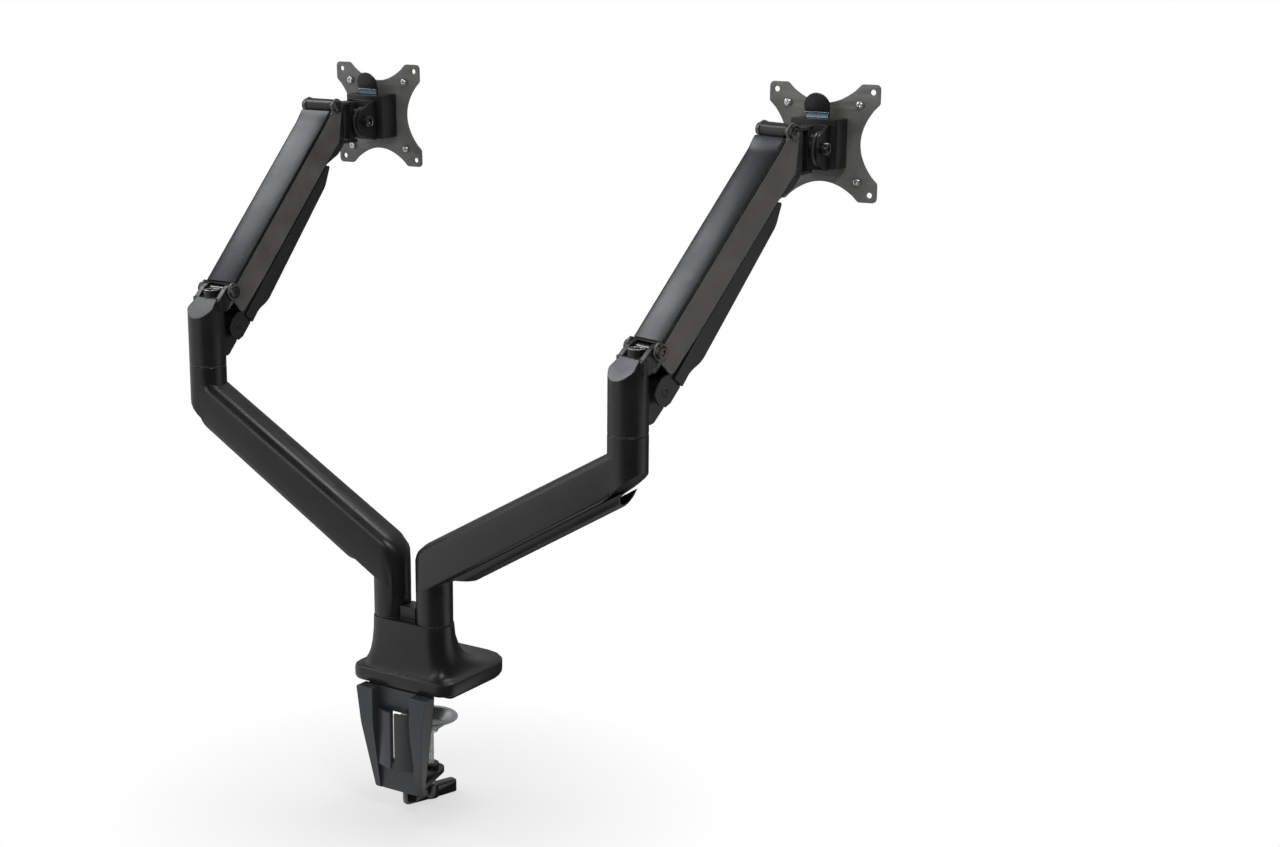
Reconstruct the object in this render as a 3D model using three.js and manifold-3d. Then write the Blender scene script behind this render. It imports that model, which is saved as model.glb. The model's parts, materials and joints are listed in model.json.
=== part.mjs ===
// Dual monitor arm: two gas-spring arms on one desk clamp.
// Millimetres, +Z up. The origin lies on the desk's top face, midway between the two base posts.
// The desk's rear edge runs along X, and the monitors stand towards +Y.

import * as THREE from "three";
import { mergeVertices } from "three/addons/utils/BufferGeometryUtils.js";
import Module from "manifold-3d";

const wasm = await Module();
wasm.setup();

// ---------- clearances ----------
const SEAT = 0.3; // between two pieces that rest on each other
const RUNNING = 0.4; // round a shaft, and beside a part that turns

// ---------- desk foot ----------
const POST_SPACING = 53.6;
const POST_DIAMETER = 37.5;
const FOOT_HEIGHT = 69.7;
const FOOT_HALF_WIDTH = 63.5;
const FOOT_REAR = -29.5;
const FOOT_FRONT = 88;
const FOOT_RIM = 15;
const FOOT_REAR_CORNER = 18;
const FOOT_FRONT_CORNER = 34;
const FOOT_SHOULDER = 2.5;
const PAD_THICKNESS = 2;
const DIVIDER_HEIGHT = 13;
const DIVIDER_HALF_DEPTH = 10;

// ---------- clamp ----------
const BRACKET_THICKNESS = 4;
const BRACKET_FACE = -20; // the face that meets the desk's edge
const BRACKET_TOP_HALF_WIDTH = 40;
const BRACKET_FOOT_HALF_WIDTH = 26;
const FLANGE_REACH = 58;
const JAW_DROP = 104; // from the desk's face to the jaw's underside
const JAW_THICKNESS = 5;
const SCREW_Y = 22;
const SCREW_RADIUS = 5;
const JAW_NOSE_RADIUS = 13;
const BOSS_RADIUS = 10;
const BOSS_HEIGHT = 9;
const CLAMP_GAP = 43; // from the desk's face to the pad's rim
const DISH_RADIUS = 30;
const DISH_RIM = 6;
const DISH_DEPTH = 14;
const DISH_SHEET = 2.2;
const DISH_HUB_RADIUS = 9.5;
const HANDLE_LENGTH = 62;
const HANDLE_HEIGHT = 15;
const HANDLE_WIDTH = 13;
const HANDLE_HUB_RADIUS = 9.5;
const HANDLE_TURN = 71; // degrees from +X

// ---------- cable cover of the clamp ----------
const COVER_TOP_HALF_WIDTH = 44;
const COVER_FOOT_HALF_WIDTH = 29.5;
const COVER_DEPTH_TOP = 15.5;
const COVER_DEPTH_FOOT = 5;
const COVER_HEIGHT = 110;
const COVER_PANEL = 3;
const COVER_RECESS = 23.5; // half the width between the rails
const FLAP_TOP = 22;
const FLAP_FOOT = 82;
const FLAP_SHEET = 2.5;
const FLAP_SLOT = 5;
const FLAP_BULGE = 7;
const RAIL_HOLE_RADIUS = 2.3;
const RAIL_HOLE_DEPTH = 12;

// ---------- lower arms ----------
const LOWER_LENGTH = 241.1;
const LOWER_HALF_WIDTH = 19.1;
const LOWER_CREASE = 9.5; // the beam's upper edges slope in from a crease this far down
const LOWER_FLAT = 0.46; // share of the beam's width that is level on top
const CREASE_ANGLE = 25;
const LOWER_UNDER_EDGE = 5;
const ELBOW_HEIGHT = 300.7;
const ELBOW_RADIUS = 19.3;
const BEAM_TOP_AT_BASE = 154;
const BEAM_TOP_RISE = 0.566;
const BEAM_FLOOR_AT_BASE = 103.5;
const BEAM_FLOOR_RISE = 0.588;
const BEAM_HEEL_RADIUS = 16;
const BEAM_TOE_START = 18; // before the elbow's axis, where the floor turns up
const BEAM_TOE_RISE = 0.26; // on top of the floor's own rise
const PIVOT_RADIUS = 8;
const BASE_PIN_TOP = 108;
const BASE_PIN_FOOT = 24;
const WASHER_THICKNESS = 1;
const WASHER_INSET = 0.5;
const CHANNEL_HALF_WIDTH = 13;
const CHANNEL_DEPTH = 10.5;
const CHANNEL_SHEET = 1.8;
const CHANNEL_START = 33;
const CHANNEL_END = 243;
const CHANNEL_SLANT = 24; // how much shorter the channel's floor is than its open side, at each end
const GROOVE_HALF_WIDTH = 10;
const GROOVE_DEPTH = 7;

// ---------- elbow post ----------
const POST_TOP = 78.4; // above the elbow seam
const SCARF_DROP = 27.5; // the oblique rear face of the post, at its lowest
const SCARF_RISE = 0.93;
const SCARF_END = 1.5; // where the oblique face meets the level top
const SCARF_SHOULDER = 10; // how far the post narrows on each side of that face
const BOLT_DEPTH = 20; // the elbow bolt's top, under the crown
const BOSS_FORWARD = 9.5; // the boss of the spring's adjuster, from the elbow axis
const ADJUSTER_RADIUS = 8.6;
const ADJUSTER_SOCKET = 4.4;
const LIFT_FORWARD = 20.4;
const LIFT_HEIGHT = 76.2; // above the elbow seam
const LUG_RADIUS = 7;
const EAR_GAP = 24;
const HINGE_PIN_RADIUS = 4.5;
const PIN_HEAD = 3.3;
const PIN_HEAD_RADIUS = 6.6;
const LINK_FORWARD = 8; // lower link pivot, from the lift pivot
const LINK_DROP = 39;
const GUSSET_HALF_WIDTH = 8;
const GUSSET_EYE = 9;
const TONGUE_HALF_WIDTH = 4;
const ANCHOR_FORWARD = 4; // gas spring anchor, from the lift pivot
const ANCHOR_DROP = 16.5;
const ANCHOR_EYE = 8;
const ANCHOR_HOLE = 6;

// ---------- upper arms ----------
const UPPER_LENGTH = 250.6;
const UPPER_HALF_WIDTH = 20.7;
const SHELL_WALL = 2.3;
const SHELL_TOP = 0.9;
const SHELL_WEB = 2.5;
const SHELL_DEPTH = 28;
const LID_THICKNESS = 2.8;
const LID_START = 8.5;
const LID_SETBACK = 10.6; // from the head pin back to the lid's end
const LID_END = UPPER_LENGTH - LID_SETBACK;
const LID_EDGE = 1.2;
const HUB_RADIUS = 7.5;
const LIFT_LOW = -25; // degrees above level
const SPRING_RADIUS = 9;
const SPRING_AXIS = -15.1;
const SPRING_START = 85;
const SPRING_SETBACK = 42.6; // from the head pin back to the spring's end
const SPRING_END = UPPER_LENGTH - SPRING_SETBACK;
const ROD_RADIUS = 4;
const ROD_PIN_RADIUS = 3.3;
const BULKHEAD = 4;

// ---------- lower link of the upper arms ----------
const LINK_SHEET = 2;
const LINK_TOP = 4;
const LINK_FLOOR = -7;
const LINK_HOOK_RADIUS = 12.6;
const LINK_END_RADIUS = 6.6;
const LINK_PIN_RADIUS = 3.5;
const TRAY_WALL = 2.3;
const TRAY_START = 15.5;
const TRAY_SETBACK = 34.6; // from the head pin back to the tray's end
const TRAY_END = UPPER_LENGTH - TRAY_SETBACK;
const TRAY_TOP = 2.5;

// ---------- head ----------
const SWIVEL_FORWARD = 21.6;
const SWIVEL_DROP = 20.7;
const KNUCKLE_RADIUS = 9;
const KNUCKLE_HALF_HEIGHT = 19;
const SWIVEL_PIN_RADIUS = 4;
const SWIVEL_SHEET = 3;
const SWIVEL_HALF_WIDTH = 10;
const TILT_REACH = 32.5;
const TILT_BARREL_RADIUS = 14;
const TILT_BARREL_HALF = 11;
const TILT_WASHER_RADIUS = 16.4;
const TILT_WASHER = 2.9;
const EAR_SHEET = 3;
const EAR_RADIUS = 16;
const EAR_HALF_HEIGHT = 22;
const YOKE_REACH = 17.2;
const YOKE_SHEET = 2.3;
const TILT_BOLT_RADIUS = 4.3;
const TILT_HEAD_RADIUS = 6.5;
const TILT_HEAD_LENGTH = 6.5;
const STUD_RADIUS = 5;

// ---------- VESA plate and its quick-release box ----------
const PLATE_REACH = 46.8; // tilt axis to the plate's rear face
const PLATE_RAISE = 3; // plate centre above the tilt axis
const PLATE_SHEET = 2.5;
const PLATE_HALF = 57.5;
const VESA_LARGE = 100;
const VESA_SMALL = 75;
const VESA_HOLE_RADIUS = 2.6;
const LEG_END = 15;
const WAIST = 38.5;
const BOX_HALF_WIDTH = 25.5;
const BOX_HALF_HEIGHT = 24;
const BOX_WALL = 3;
const TONGUE_DEPTH = 11.5;
const TONGUE_WIDTH = 32;
const TONGUE_HALF_HEIGHT = 18;
const LATCH_SHEET = 1.6;
const LATCH_SETBACK = 15;
const LATCH_HALF_WIDTH = 12;
const LATCH_PIVOT_DROP = 12;
const LATCH_PIVOT_RADIUS = 2;
const TAB_RADIUS = 13.5;
const TAB_CENTRE = 36;
const TAB_FOOT = 31;
const TAB_SHEET = 2.4;
const TAB_LEAN = 15;

// ---------- the two arms as they stand ----------
const ARMS = [
  {
    name: "left", side: -1, lower: 180.8, upper: 90.2, lift: 46.5, plate: 92.9, tilt: -1.7,
  },
  {
    name: "right", side: 1, lower: -4.2, upper: 73.5, lift: 49.3, plate: 97.5, tilt: 1.3,
  },
];

const MATERIALS = {
  coat: new THREE.MeshStandardMaterial({ color: 0x262524, roughness: 0.45, metalness: 0.2 }),
  steel: new THREE.MeshStandardMaterial({ color: 0x1d1c1c, roughness: 0.3, metalness: 0.6 }),
  plastic: new THREE.MeshStandardMaterial({ color: 0x1b1b1b, roughness: 0.5, metalness: 0 }),
  slate: new THREE.MeshStandardMaterial({ color: 0x3c3e41, roughness: 0.6, metalness: 0 }),
  rubber: new THREE.MeshStandardMaterial({ color: 0x141414, roughness: 0.9, metalness: 0 }),
  zinc: new THREE.MeshStandardMaterial({ color: 0xaab4b4, roughness: 0.35, metalness: 0.9 }),
};

// ---------- solids: joining and cutting ----------

function faceOutwards(positions, triangles) {
  const [a, b, c] = [new THREE.Vector3(), new THREE.Vector3(), new THREE.Vector3()];
  let volume = 0;
  for (let i = 0; i < triangles.length; i += 3) {
    a.fromArray(positions, 3 * triangles[i]);
    b.fromArray(positions, 3 * triangles[i + 1]);
    c.fromArray(positions, 3 * triangles[i + 2]);
    volume += a.dot(b.cross(c));
  }
  return volume < 0 ? triangles.slice().reverse() : triangles;
}

function solidOf(geometry) {
  const bare = geometry.clone();
  bare.deleteAttribute("normal");
  bare.deleteAttribute("uv");
  const merged = mergeVertices(bare, 1e-4);
  const vertProperties = new Float32Array(merged.attributes.position.array);
  const triVerts = faceOutwards(vertProperties, new Uint32Array(merged.index.array));
  return new wasm.Manifold(new wasm.Mesh({ numProp: 3, vertProperties, triVerts }));
}

function geometryOf(solid) {
  const mesh = solid.getMesh();
  const geometry = new THREE.BufferGeometry();
  geometry.setAttribute("position", new THREE.BufferAttribute(mesh.vertProperties, 3));
  geometry.setIndex(new THREE.BufferAttribute(mesh.triVerts, 1));
  return geometry;
}

const join = (...parts) => geometryOf(parts.map(solidOf).reduce((a, b) => a.add(b)));
const cut = (body, ...tools) => geometryOf(tools.map(solidOf).reduce((a, b) => a.subtract(b), solidOf(body)));
const common = (...parts) => geometryOf(parts.map(solidOf).reduce((a, b) => a.intersect(b)));

// ---------- basic shapes ----------

// How finely a circle of this radius is faceted.
const sidesFor = (radius) => (radius < 3 ? 8 : radius < 7 ? 10 : radius < 12 ? 12 : 20);

function block(x0, x1, y0, y1, z0, z1) {
  const box = new THREE.BoxGeometry(x1 - x0, y1 - y0, z1 - z0);
  return box.translate((x0 + x1) / 2, (y0 + y1) / 2, (z0 + z1) / 2);
}

function roundZ(radius, z0, z1, x = 0, y = 0, sides = sidesFor(radius)) {
  const bar = new THREE.CylinderGeometry(radius, radius, z1 - z0, sides);
  return bar.rotateX(Math.PI / 2).translate(x, y, (z0 + z1) / 2);
}

function roundY(radius, y0, y1, x = 0, z = 0, sides = sidesFor(radius)) {
  const bar = new THREE.CylinderGeometry(radius, radius, y1 - y0, sides);
  return bar.translate(x, (y0 + y1) / 2, z);
}

function roundX(radius, x0, x1, y = 0, z = 0, sides = sidesFor(radius)) {
  const bar = new THREE.CylinderGeometry(radius, radius, x1 - x0, sides);
  return bar.rotateZ(Math.PI / 2).translate((x0 + x1) / 2, y, z);
}

function revolve(profile, sides = 18) {
  const points = profile.map(([r, z]) => new THREE.Vector2(r, z));
  return new THREE.LatheGeometry(points, sides).rotateX(Math.PI / 2);
}

// A closed outline through [x, y, corner radius] points, with an arc at each rounded corner.
function outline(corners) {
  const at = (i) => new THREE.Vector2(...corners.at(i % corners.length).slice(0, 2));
  const points = corners.flatMap(([, , radius = 0], i) => {
    const back = at(i - 1).sub(at(i));
    const on = at(i + 1).sub(at(i));
    if (radius <= 0) return [at(i)];
    const half = Math.acos(back.dot(on) / (back.length() * on.length())) / 2;
    const reach = Math.min(radius / Math.tan(half), back.length() * 0.499, on.length() * 0.499);
    const fitted = reach * Math.tan(half);
    const start = at(i).add(back.clone().setLength(reach));
    const inward = back.clone().normalize().add(on.clone().normalize());
    const centre = at(i).add(inward.setLength(fitted / Math.sin(half)));
    const sweep = (Math.PI - 2 * half) * Math.sign(back.cross(on)) * -1;
    const steps = Math.max(1, Math.ceil(Math.abs(sweep) / (4 * Math.PI / sidesFor(fitted) * 0.8)));
    return Array.from({ length: steps + 1 }, (_, step) =>
      start.clone().rotateAround(centre, (sweep * step) / steps),
    );
  });
  return new THREE.Shape(points);
}

// The outline that wraps two circles, [x, y, radius] each, like a link or a lug.
function strap([x0, y0, r0], [x1, y1, r1], steps = 5) {
  const along = Math.atan2(y1 - y0, x1 - x0);
  const spread = Math.acos((r0 - r1) / Math.hypot(x1 - x0, y1 - y0));
  const arc = (x, y, radius, from, to) =>
    Array.from({ length: steps + 1 }, (_, step) => {
      const a = THREE.MathUtils.lerp(from, to, step / steps);
      return new THREE.Vector2(x + radius * Math.cos(a), y + radius * Math.sin(a));
    });
  return new THREE.Shape([
    ...arc(x0, y0, r0, along + spread, along + 2 * Math.PI - spread),
    ...arc(x1, y1, r1, along - spread, along + spread),
  ]);
}

function extrude(shape, depth, bevel, detail) {
  return new THREE.ExtrudeGeometry(shape, {
    depth: depth - 2 * bevel,
    bevelEnabled: bevel > 0,
    bevelThickness: bevel,
    bevelSize: bevel,
    bevelOffset: -bevel,
    bevelSegments: 2,
    curveSegments: detail,
  }).translate(0, 0, bevel);
}

// A plan outline (x, y) raised from z0 to z1.
const raised = (shape, z0, z1, bevel = 0, detail = 2) =>
  extrude(shape, z1 - z0, bevel, detail).translate(0, 0, z0);

// A side outline (x, z) across from y0 to y1.
const across = (shape, y0, y1, bevel = 0, detail = 2) =>
  extrude(shape, y1 - y0, bevel, detail).rotateX(Math.PI / 2).translate(0, y1, 0);

// A front outline (y, z) along from x0 to x1.
const along = (shape, x0, x1, bevel = 0, detail = 2) =>
  extrude(shape, x1 - x0, bevel, detail).rotateX(Math.PI / 2).rotateZ(Math.PI / 2).translate(x0, 0, 0);

// A skin over closed rings that all have the same number of points, with flat ends.
function loft(rings) {
  const count = rings[0].length;
  const positions = rings.flat().flatMap((p) => [p.x, p.y, p.z]);
  const index = [];
  for (let ring = 0; ring < rings.length - 1; ring++) {
    for (let i = 0; i < count; i++) {
      const a = ring * count + i;
      const b = ring * count + ((i + 1) % count);
      index.push(a, b, b + count, a, b + count, a + count);
    }
  }
  const last = (rings.length - 1) * count;
  for (let i = 1; i < count - 1; i++) {
    index.push(0, i + 1, i, last, last + i, last + i + 1);
  }
  const geometry = new THREE.BufferGeometry();
  geometry.setAttribute("position", new THREE.Float32BufferAttribute(positions, 3));
  geometry.setIndex(index);
  return geometry;
}

const socket = (radius, z0, z1) => roundZ(radius, z0, z1, 0, 0, 6);
const radians = (degrees) => THREE.MathUtils.degToRad(degrees);

function piece(name, material, geometry) {
  const shown = geometry.index ? geometry.toNonIndexed() : geometry;
  shown.computeVertexNormals();
  const mesh = new THREE.Mesh(shown, MATERIALS[material].clone());
  mesh.name = name;
  return mesh;
}

function group(x, y, z, ...pieces) {
  const holder = new THREE.Group();
  holder.position.set(x, y, z);
  holder.add(...pieces);
  return holder;
}

// ---------- desk foot ----------

const POST_X = POST_SPACING / 2;
const POST_RADIUS = POST_DIAMETER / 2;
const SEAM_BELOW = FOOT_HEIGHT - WASHER_THICKNESS / 2 - SEAT;
const SEAM_ABOVE = FOOT_HEIGHT + WASHER_THICKNESS / 2 + SEAT;

// One level ring of the foot: four rounded corners, the front pair larger.
function footRing(halfWidth, rear, front, rearCorner, frontCorner, z, perCorner = 5) {
  const corners = [
    [halfWidth - frontCorner, front - frontCorner, frontCorner, 0],
    [frontCorner - halfWidth, front - frontCorner, frontCorner, 90],
    [rearCorner - halfWidth, rear + rearCorner, rearCorner, 180],
    [halfWidth - rearCorner, rear + rearCorner, rearCorner, 270],
  ];
  return corners.flatMap(([x, y, r, start]) =>
    Array.from({ length: perCorner }, (_, i) => {
      const a = radians(start + (90 * i) / (perCorner - 1));
      return new THREE.Vector3(x + r * Math.cos(a), y + r * Math.sin(a), z);
    }),
  );
}

function footOutlineAt(share, z) {
  const mix = (rim, top) => THREE.MathUtils.lerp(rim - FOOT_SHOULDER, top, share);
  const blockHalfDepth = POST_RADIUS + 0.8;
  return footRing(
    mix(FOOT_HALF_WIDTH, POST_X + blockHalfDepth),
    -mix(-FOOT_REAR, blockHalfDepth),
    mix(FOOT_FRONT, blockHalfDepth),
    mix(FOOT_REAR_CORNER, blockHalfDepth - 0.01),
    mix(FOOT_FRONT_CORNER, blockHalfDepth - 0.01),
    z,
  );
}

function baseHousing() {
  const wall = (inset, z) =>
    footRing(
      FOOT_HALF_WIDTH - inset,
      FOOT_REAR + inset,
      FOOT_FRONT - inset,
      FOOT_REAR_CORNER - inset,
      FOOT_FRONT_CORNER - inset,
      z,
    );
  const rings = [wall(1, PAD_THICKNESS + SEAT), wall(0, 4.5), wall(0, FOOT_RIM - 2), wall(0.8, FOOT_RIM)];
  const flareFoot = FOOT_RIM + 1.2;
  const steps = 7;
  for (let i = 0; i <= steps; i++) {
    const turn = ((Math.PI / 2) * i) / steps;
    const rise = Math.pow(1 - Math.cos(turn), 1.2);
    rings.push(footOutlineAt(Math.sin(turn), flareFoot + (SEAM_BELOW - flareFoot) * rise));
  }
  const bore = (x) => roundZ(PIVOT_RADIUS + SEAT, BASE_PIN_FOOT - SEAT, FOOT_HEIGHT + 5, x);
  const flangeRoom = block(
    -BRACKET_TOP_HALF_WIDTH - SEAT,
    BRACKET_TOP_HALF_WIDTH + SEAT,
    BRACKET_FACE - BRACKET_THICKNESS - SEAT,
    FLANGE_REACH + SEAT,
    -1,
    PAD_THICKNESS + 2 * SEAT + BRACKET_THICKNESS + SEAT,
  );
  return cut(join(loft(rings), postDivider()), bore(-POST_X), bore(POST_X), flangeRoom);
}

// The rib between the posts, hollowed to their curve.
function postDivider() {
  const top = FOOT_HEIGHT + DIVIDER_HEIGHT;
  const rib = block(-POST_X / 2, POST_X / 2, -DIVIDER_HALF_DEPTH, DIVIDER_HALF_DEPTH, SEAM_BELOW - 5, top);
  const room = (x) => roundZ(POST_RADIUS + 1, SEAM_BELOW - 10, top + 1, x);
  return cut(rib, room(-POST_X), room(POST_X));
}

function basePad() {
  const inset = 2.5;
  const rear = BRACKET_FACE + SEAT;
  const corner = FOOT_FRONT_CORNER - inset;
  const half = FOOT_HALF_WIDTH - inset;
  const front = FOOT_FRONT - inset;
  const shape = outline([[-half, rear, 4], [half, rear, 4], [half, front, corner], [-half, front, corner]]);
  return raised(shape, 0, PAD_THICKNESS);
}

const basePin = () => revolve([
  [0, BASE_PIN_FOOT],
  [PIVOT_RADIUS, BASE_PIN_FOOT],
  [PIVOT_RADIUS, BASE_PIN_TOP - 1.5],
  [PIVOT_RADIUS - 1.5, BASE_PIN_TOP],
  [0, BASE_PIN_TOP],
], 16);

// ---------- clamp ----------

const FLANGE_FOOT = PAD_THICKNESS + 2 * SEAT;
const BRACKET_BACK = BRACKET_FACE - BRACKET_THICKNESS;
const WINDOW_HALF_WIDTH = 13;

function clampBracket() {
  const top = FLANGE_FOOT + BRACKET_THICKNESS;
  const angle = outline([
    [BRACKET_BACK, -JAW_DROP],
    [BRACKET_FACE, -JAW_DROP],
    [BRACKET_FACE, FLANGE_FOOT],
    [FLANGE_REACH, FLANGE_FOOT],
    [FLANGE_REACH, top],
    [BRACKET_BACK, top, 5],
  ]);
  const wide = BRACKET_TOP_HALF_WIDTH;
  const taper = outline([
    [-BRACKET_FOOT_HALF_WIDTH, -JAW_DROP],
    [BRACKET_FOOT_HALF_WIDTH, -JAW_DROP],
    [wide, -15, 20],
    [wide, top],
    [-wide, top],
    [-wide, -15, 20],
  ]);
  const window = outline([
    [-WINDOW_HALF_WIDTH, -FLAP_FOOT, 4],
    [WINDOW_HALF_WIDTH, -FLAP_FOOT, 4],
    [WINDOW_HALF_WIDTH, -FLAP_TOP, 4],
    [-WINDOW_HALF_WIDTH, -FLAP_TOP, 4],
  ]);
  const sheet = common(along(angle, -wide, wide), across(taper, BRACKET_BACK - 1, FLANGE_REACH + 1));
  const opened = cut(sheet, across(window, BRACKET_BACK - 1, BRACKET_FACE + 1));
  return cut(join(opened, clampJaw()), roundZ(SCREW_RADIUS + RUNNING, -JAW_DROP - 20, -80, 0, SCREW_Y));
}

function clampJaw() {
  const nose = SCREW_Y + JAW_NOSE_RADIUS;
  const plan = outline([
    [-BRACKET_FOOT_HALF_WIDTH, BRACKET_BACK],
    [BRACKET_FOOT_HALF_WIDTH, BRACKET_BACK],
    [BRACKET_FOOT_HALF_WIDTH, BRACKET_FACE + 4],
    [JAW_NOSE_RADIUS, nose, JAW_NOSE_RADIUS],
    [-JAW_NOSE_RADIUS, nose, JAW_NOSE_RADIUS],
    [-BRACKET_FOOT_HALF_WIDTH, BRACKET_FACE + 4],
  ]);
  const plate = raised(plan, -JAW_DROP, JAW_THICKNESS - JAW_DROP);
  const boss = roundZ(BOSS_RADIUS, -JAW_DROP, BOSS_HEIGHT - JAW_DROP, 0, SCREW_Y);
  const rib = (x) => {
    const fillet = outline([
      [BRACKET_BACK + 1, 1 - JAW_DROP],
      [SCREW_Y - 8, 1 - JAW_DROP],
      [SCREW_Y - 8, JAW_THICKNESS - JAW_DROP],
      [BRACKET_FACE, 20 - JAW_DROP],
      [BRACKET_BACK + 1, 20 - JAW_DROP],
    ]);
    return along(fillet, x - 1.5, x + 1.5);
  };
  return join(plate, boss, rib(-WINDOW_HALF_WIDTH - 4), rib(WINDOW_HALF_WIDTH + 4));
}

const COVER_BACK = BRACKET_BACK - SEAT;

// Two side rails and a back panel with a window, all tapering downwards.
function clampCover() {
  const front = COVER_BACK - COVER_DEPTH_TOP;
  const frontFoot = COVER_BACK - COVER_DEPTH_FOOT;
  const side = outline([
    [COVER_BACK, -COVER_HEIGHT],
    [frontFoot, -COVER_HEIGHT, 2],
    [front, -38, 40],
    [front, -SEAT, 1],
    [COVER_BACK, -SEAT],
  ]);
  const face = outline([
    [-COVER_FOOT_HALF_WIDTH, -COVER_HEIGHT, 3],
    [COVER_FOOT_HALF_WIDTH, -COVER_HEIGHT, 3],
    [COVER_TOP_HALF_WIDTH, -SEAT],
    [-COVER_TOP_HALF_WIDTH, -SEAT],
  ]);
  const body = common(
    along(side, -COVER_TOP_HALF_WIDTH, COVER_TOP_HALF_WIDTH, 0, 2),
    across(face, front - 1, COVER_BACK + 1),
  );
  const recess = block(
    -COVER_RECESS, COVER_RECESS, front - 2, COVER_BACK - COVER_PANEL, -COVER_HEIGHT - 1, 1,
  );
  const window = outline([
    [-WINDOW_HALF_WIDTH, -FLAP_FOOT + 2, 3],
    [WINDOW_HALF_WIDTH, -FLAP_FOOT + 2, 3],
    [WINDOW_HALF_WIDTH, -FLAP_TOP - 2, 3],
    [-WINDOW_HALF_WIDTH, -FLAP_TOP - 2, 3],
  ]);
  const hole = (x) => roundZ(RAIL_HOLE_RADIUS, -RAIL_HOLE_DEPTH, 1, x, COVER_BACK - COVER_DEPTH_TOP / 2);
  const holeX = (COVER_TOP_HALF_WIDTH + COVER_RECESS) / 2;
  const rails = cut(
    body,
    recess,
    across(window, front - 2, COVER_BACK + 2),
    hole(-holeX),
    hole(holeX),
  );
  return join(rails, cableFlap(-1), cableFlap(1));
}

// A curved flap that springs from one rail and stops short of the middle.
function cableFlap(side) {
  const root = COVER_RECESS + 1.5;
  const steps = 5;
  const shape = new THREE.Shape();
  const crown = COVER_BACK - COVER_DEPTH_TOP + 1.5;
  const edge = (x, lift) => [side * x, crown + FLAP_BULGE * (x / root) ** 2 + lift];
  shape.moveTo(...edge(FLAP_SLOT / 2, 0));
  for (let i = 1; i <= steps; i++) {
    shape.lineTo(...edge(THREE.MathUtils.lerp(FLAP_SLOT / 2, root, i / steps), 0));
  }
  for (let i = steps; i >= 0; i--) {
    shape.lineTo(...edge(THREE.MathUtils.lerp(FLAP_SLOT / 2, root, i / steps), FLAP_SHEET));
  }
  return raised(shape, -FLAP_FOOT, -FLAP_TOP);
}

const DISH_HUB_FOOT = CLAMP_GAP + DISH_DEPTH + 3;
const SCREW_TIP = DISH_HUB_FOOT - 7;
const HANDLE_TOP = JAW_DROP + 14;

function clampPad() {
  const top = -CLAMP_GAP;
  const inner = DISH_RADIUS - DISH_RIM;
  const floor = top - DISH_DEPTH + 5;
  const dish = revolve([
    [0, -DISH_HUB_FOOT],
    [DISH_HUB_RADIUS, -DISH_HUB_FOOT],
    [DISH_HUB_RADIUS, top - DISH_DEPTH],
    [inner, top - DISH_SHEET - 2],
    [DISH_RADIUS, top - DISH_SHEET],
    [DISH_RADIUS, top],
    [inner, top],
    [inner - 2, top - 2.5],
    [DISH_HUB_RADIUS + 4, floor],
    [0, floor],
  ]).translate(0, SCREW_Y, 0);
  const tab = (turn) => {
    const raisedTab = block(DISH_HUB_RADIUS + 1, inner - 6, -5, 5, floor - 1, floor + 1.2);
    return raisedTab.rotateZ(radians(turn)).translate(0, SCREW_Y, 0);
  };
  const tabs = [45, 135, 225, 315].map(tab);
  const seat = roundZ(SCREW_RADIUS + SEAT, -DISH_HUB_FOOT - 1, -SCREW_TIP + SEAT, 0, SCREW_Y);
  return cut(join(dish, ...tabs), seat);
}

function clampScrew() {
  const foot = -HANDLE_TOP - HANDLE_HEIGHT + 4;
  return revolve([
    [0, foot],
    [SCREW_RADIUS, foot],
    [SCREW_RADIUS, -SCREW_TIP - 2],
    [SCREW_RADIUS - 2, -SCREW_TIP],
    [0, -SCREW_TIP],
  ], 24).translate(0, SCREW_Y, 0);
}

function clampHandle() {
  const half = HANDLE_LENGTH / 2;
  const tip = HANDLE_WIDTH / 2 - 1;
  const waist = HANDLE_WIDTH / 2;
  const plan = outline([
    [-half, -tip, 3],
    [0, -waist, 30],
    [half, -tip, 3],
    [half, tip, 3],
    [0, waist, 30],
    [-half, tip, 3],
  ]);
  const foot = -HANDLE_TOP - HANDLE_HEIGHT;
  const bar = raised(plan, foot, -HANDLE_TOP - 1.5, 1.5, 2);
  const hub = roundZ(HANDLE_HUB_RADIUS, foot + 1, -HANDLE_TOP);
  const bore = roundZ(SCREW_RADIUS + SEAT, foot + 4 - SEAT, -HANDLE_TOP + 1);
  return cut(join(bar, hub), bore).rotateZ(radians(HANDLE_TURN)).translate(0, SCREW_Y, 0);
}

// ---------- lower arm: +X runs from the base post to the elbow, heights are from the desk ----------

const beamTop = (x) => BEAM_TOP_AT_BASE + BEAM_TOP_RISE * x;
const beamFloor = (x) => BEAM_FLOOR_AT_BASE + BEAM_FLOOR_RISE * x;
const toeLine = (x) => beamFloor(x) + BEAM_TOE_RISE * (x - LOWER_LENGTH + BEAM_TOE_START);
const ELBOW_BELOW = ELBOW_HEIGHT - WASHER_THICKNESS / 2 - SEAT;
const ELBOW_ABOVE = ELBOW_HEIGHT + WASHER_THICKNESS / 2 + SEAT;

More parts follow.
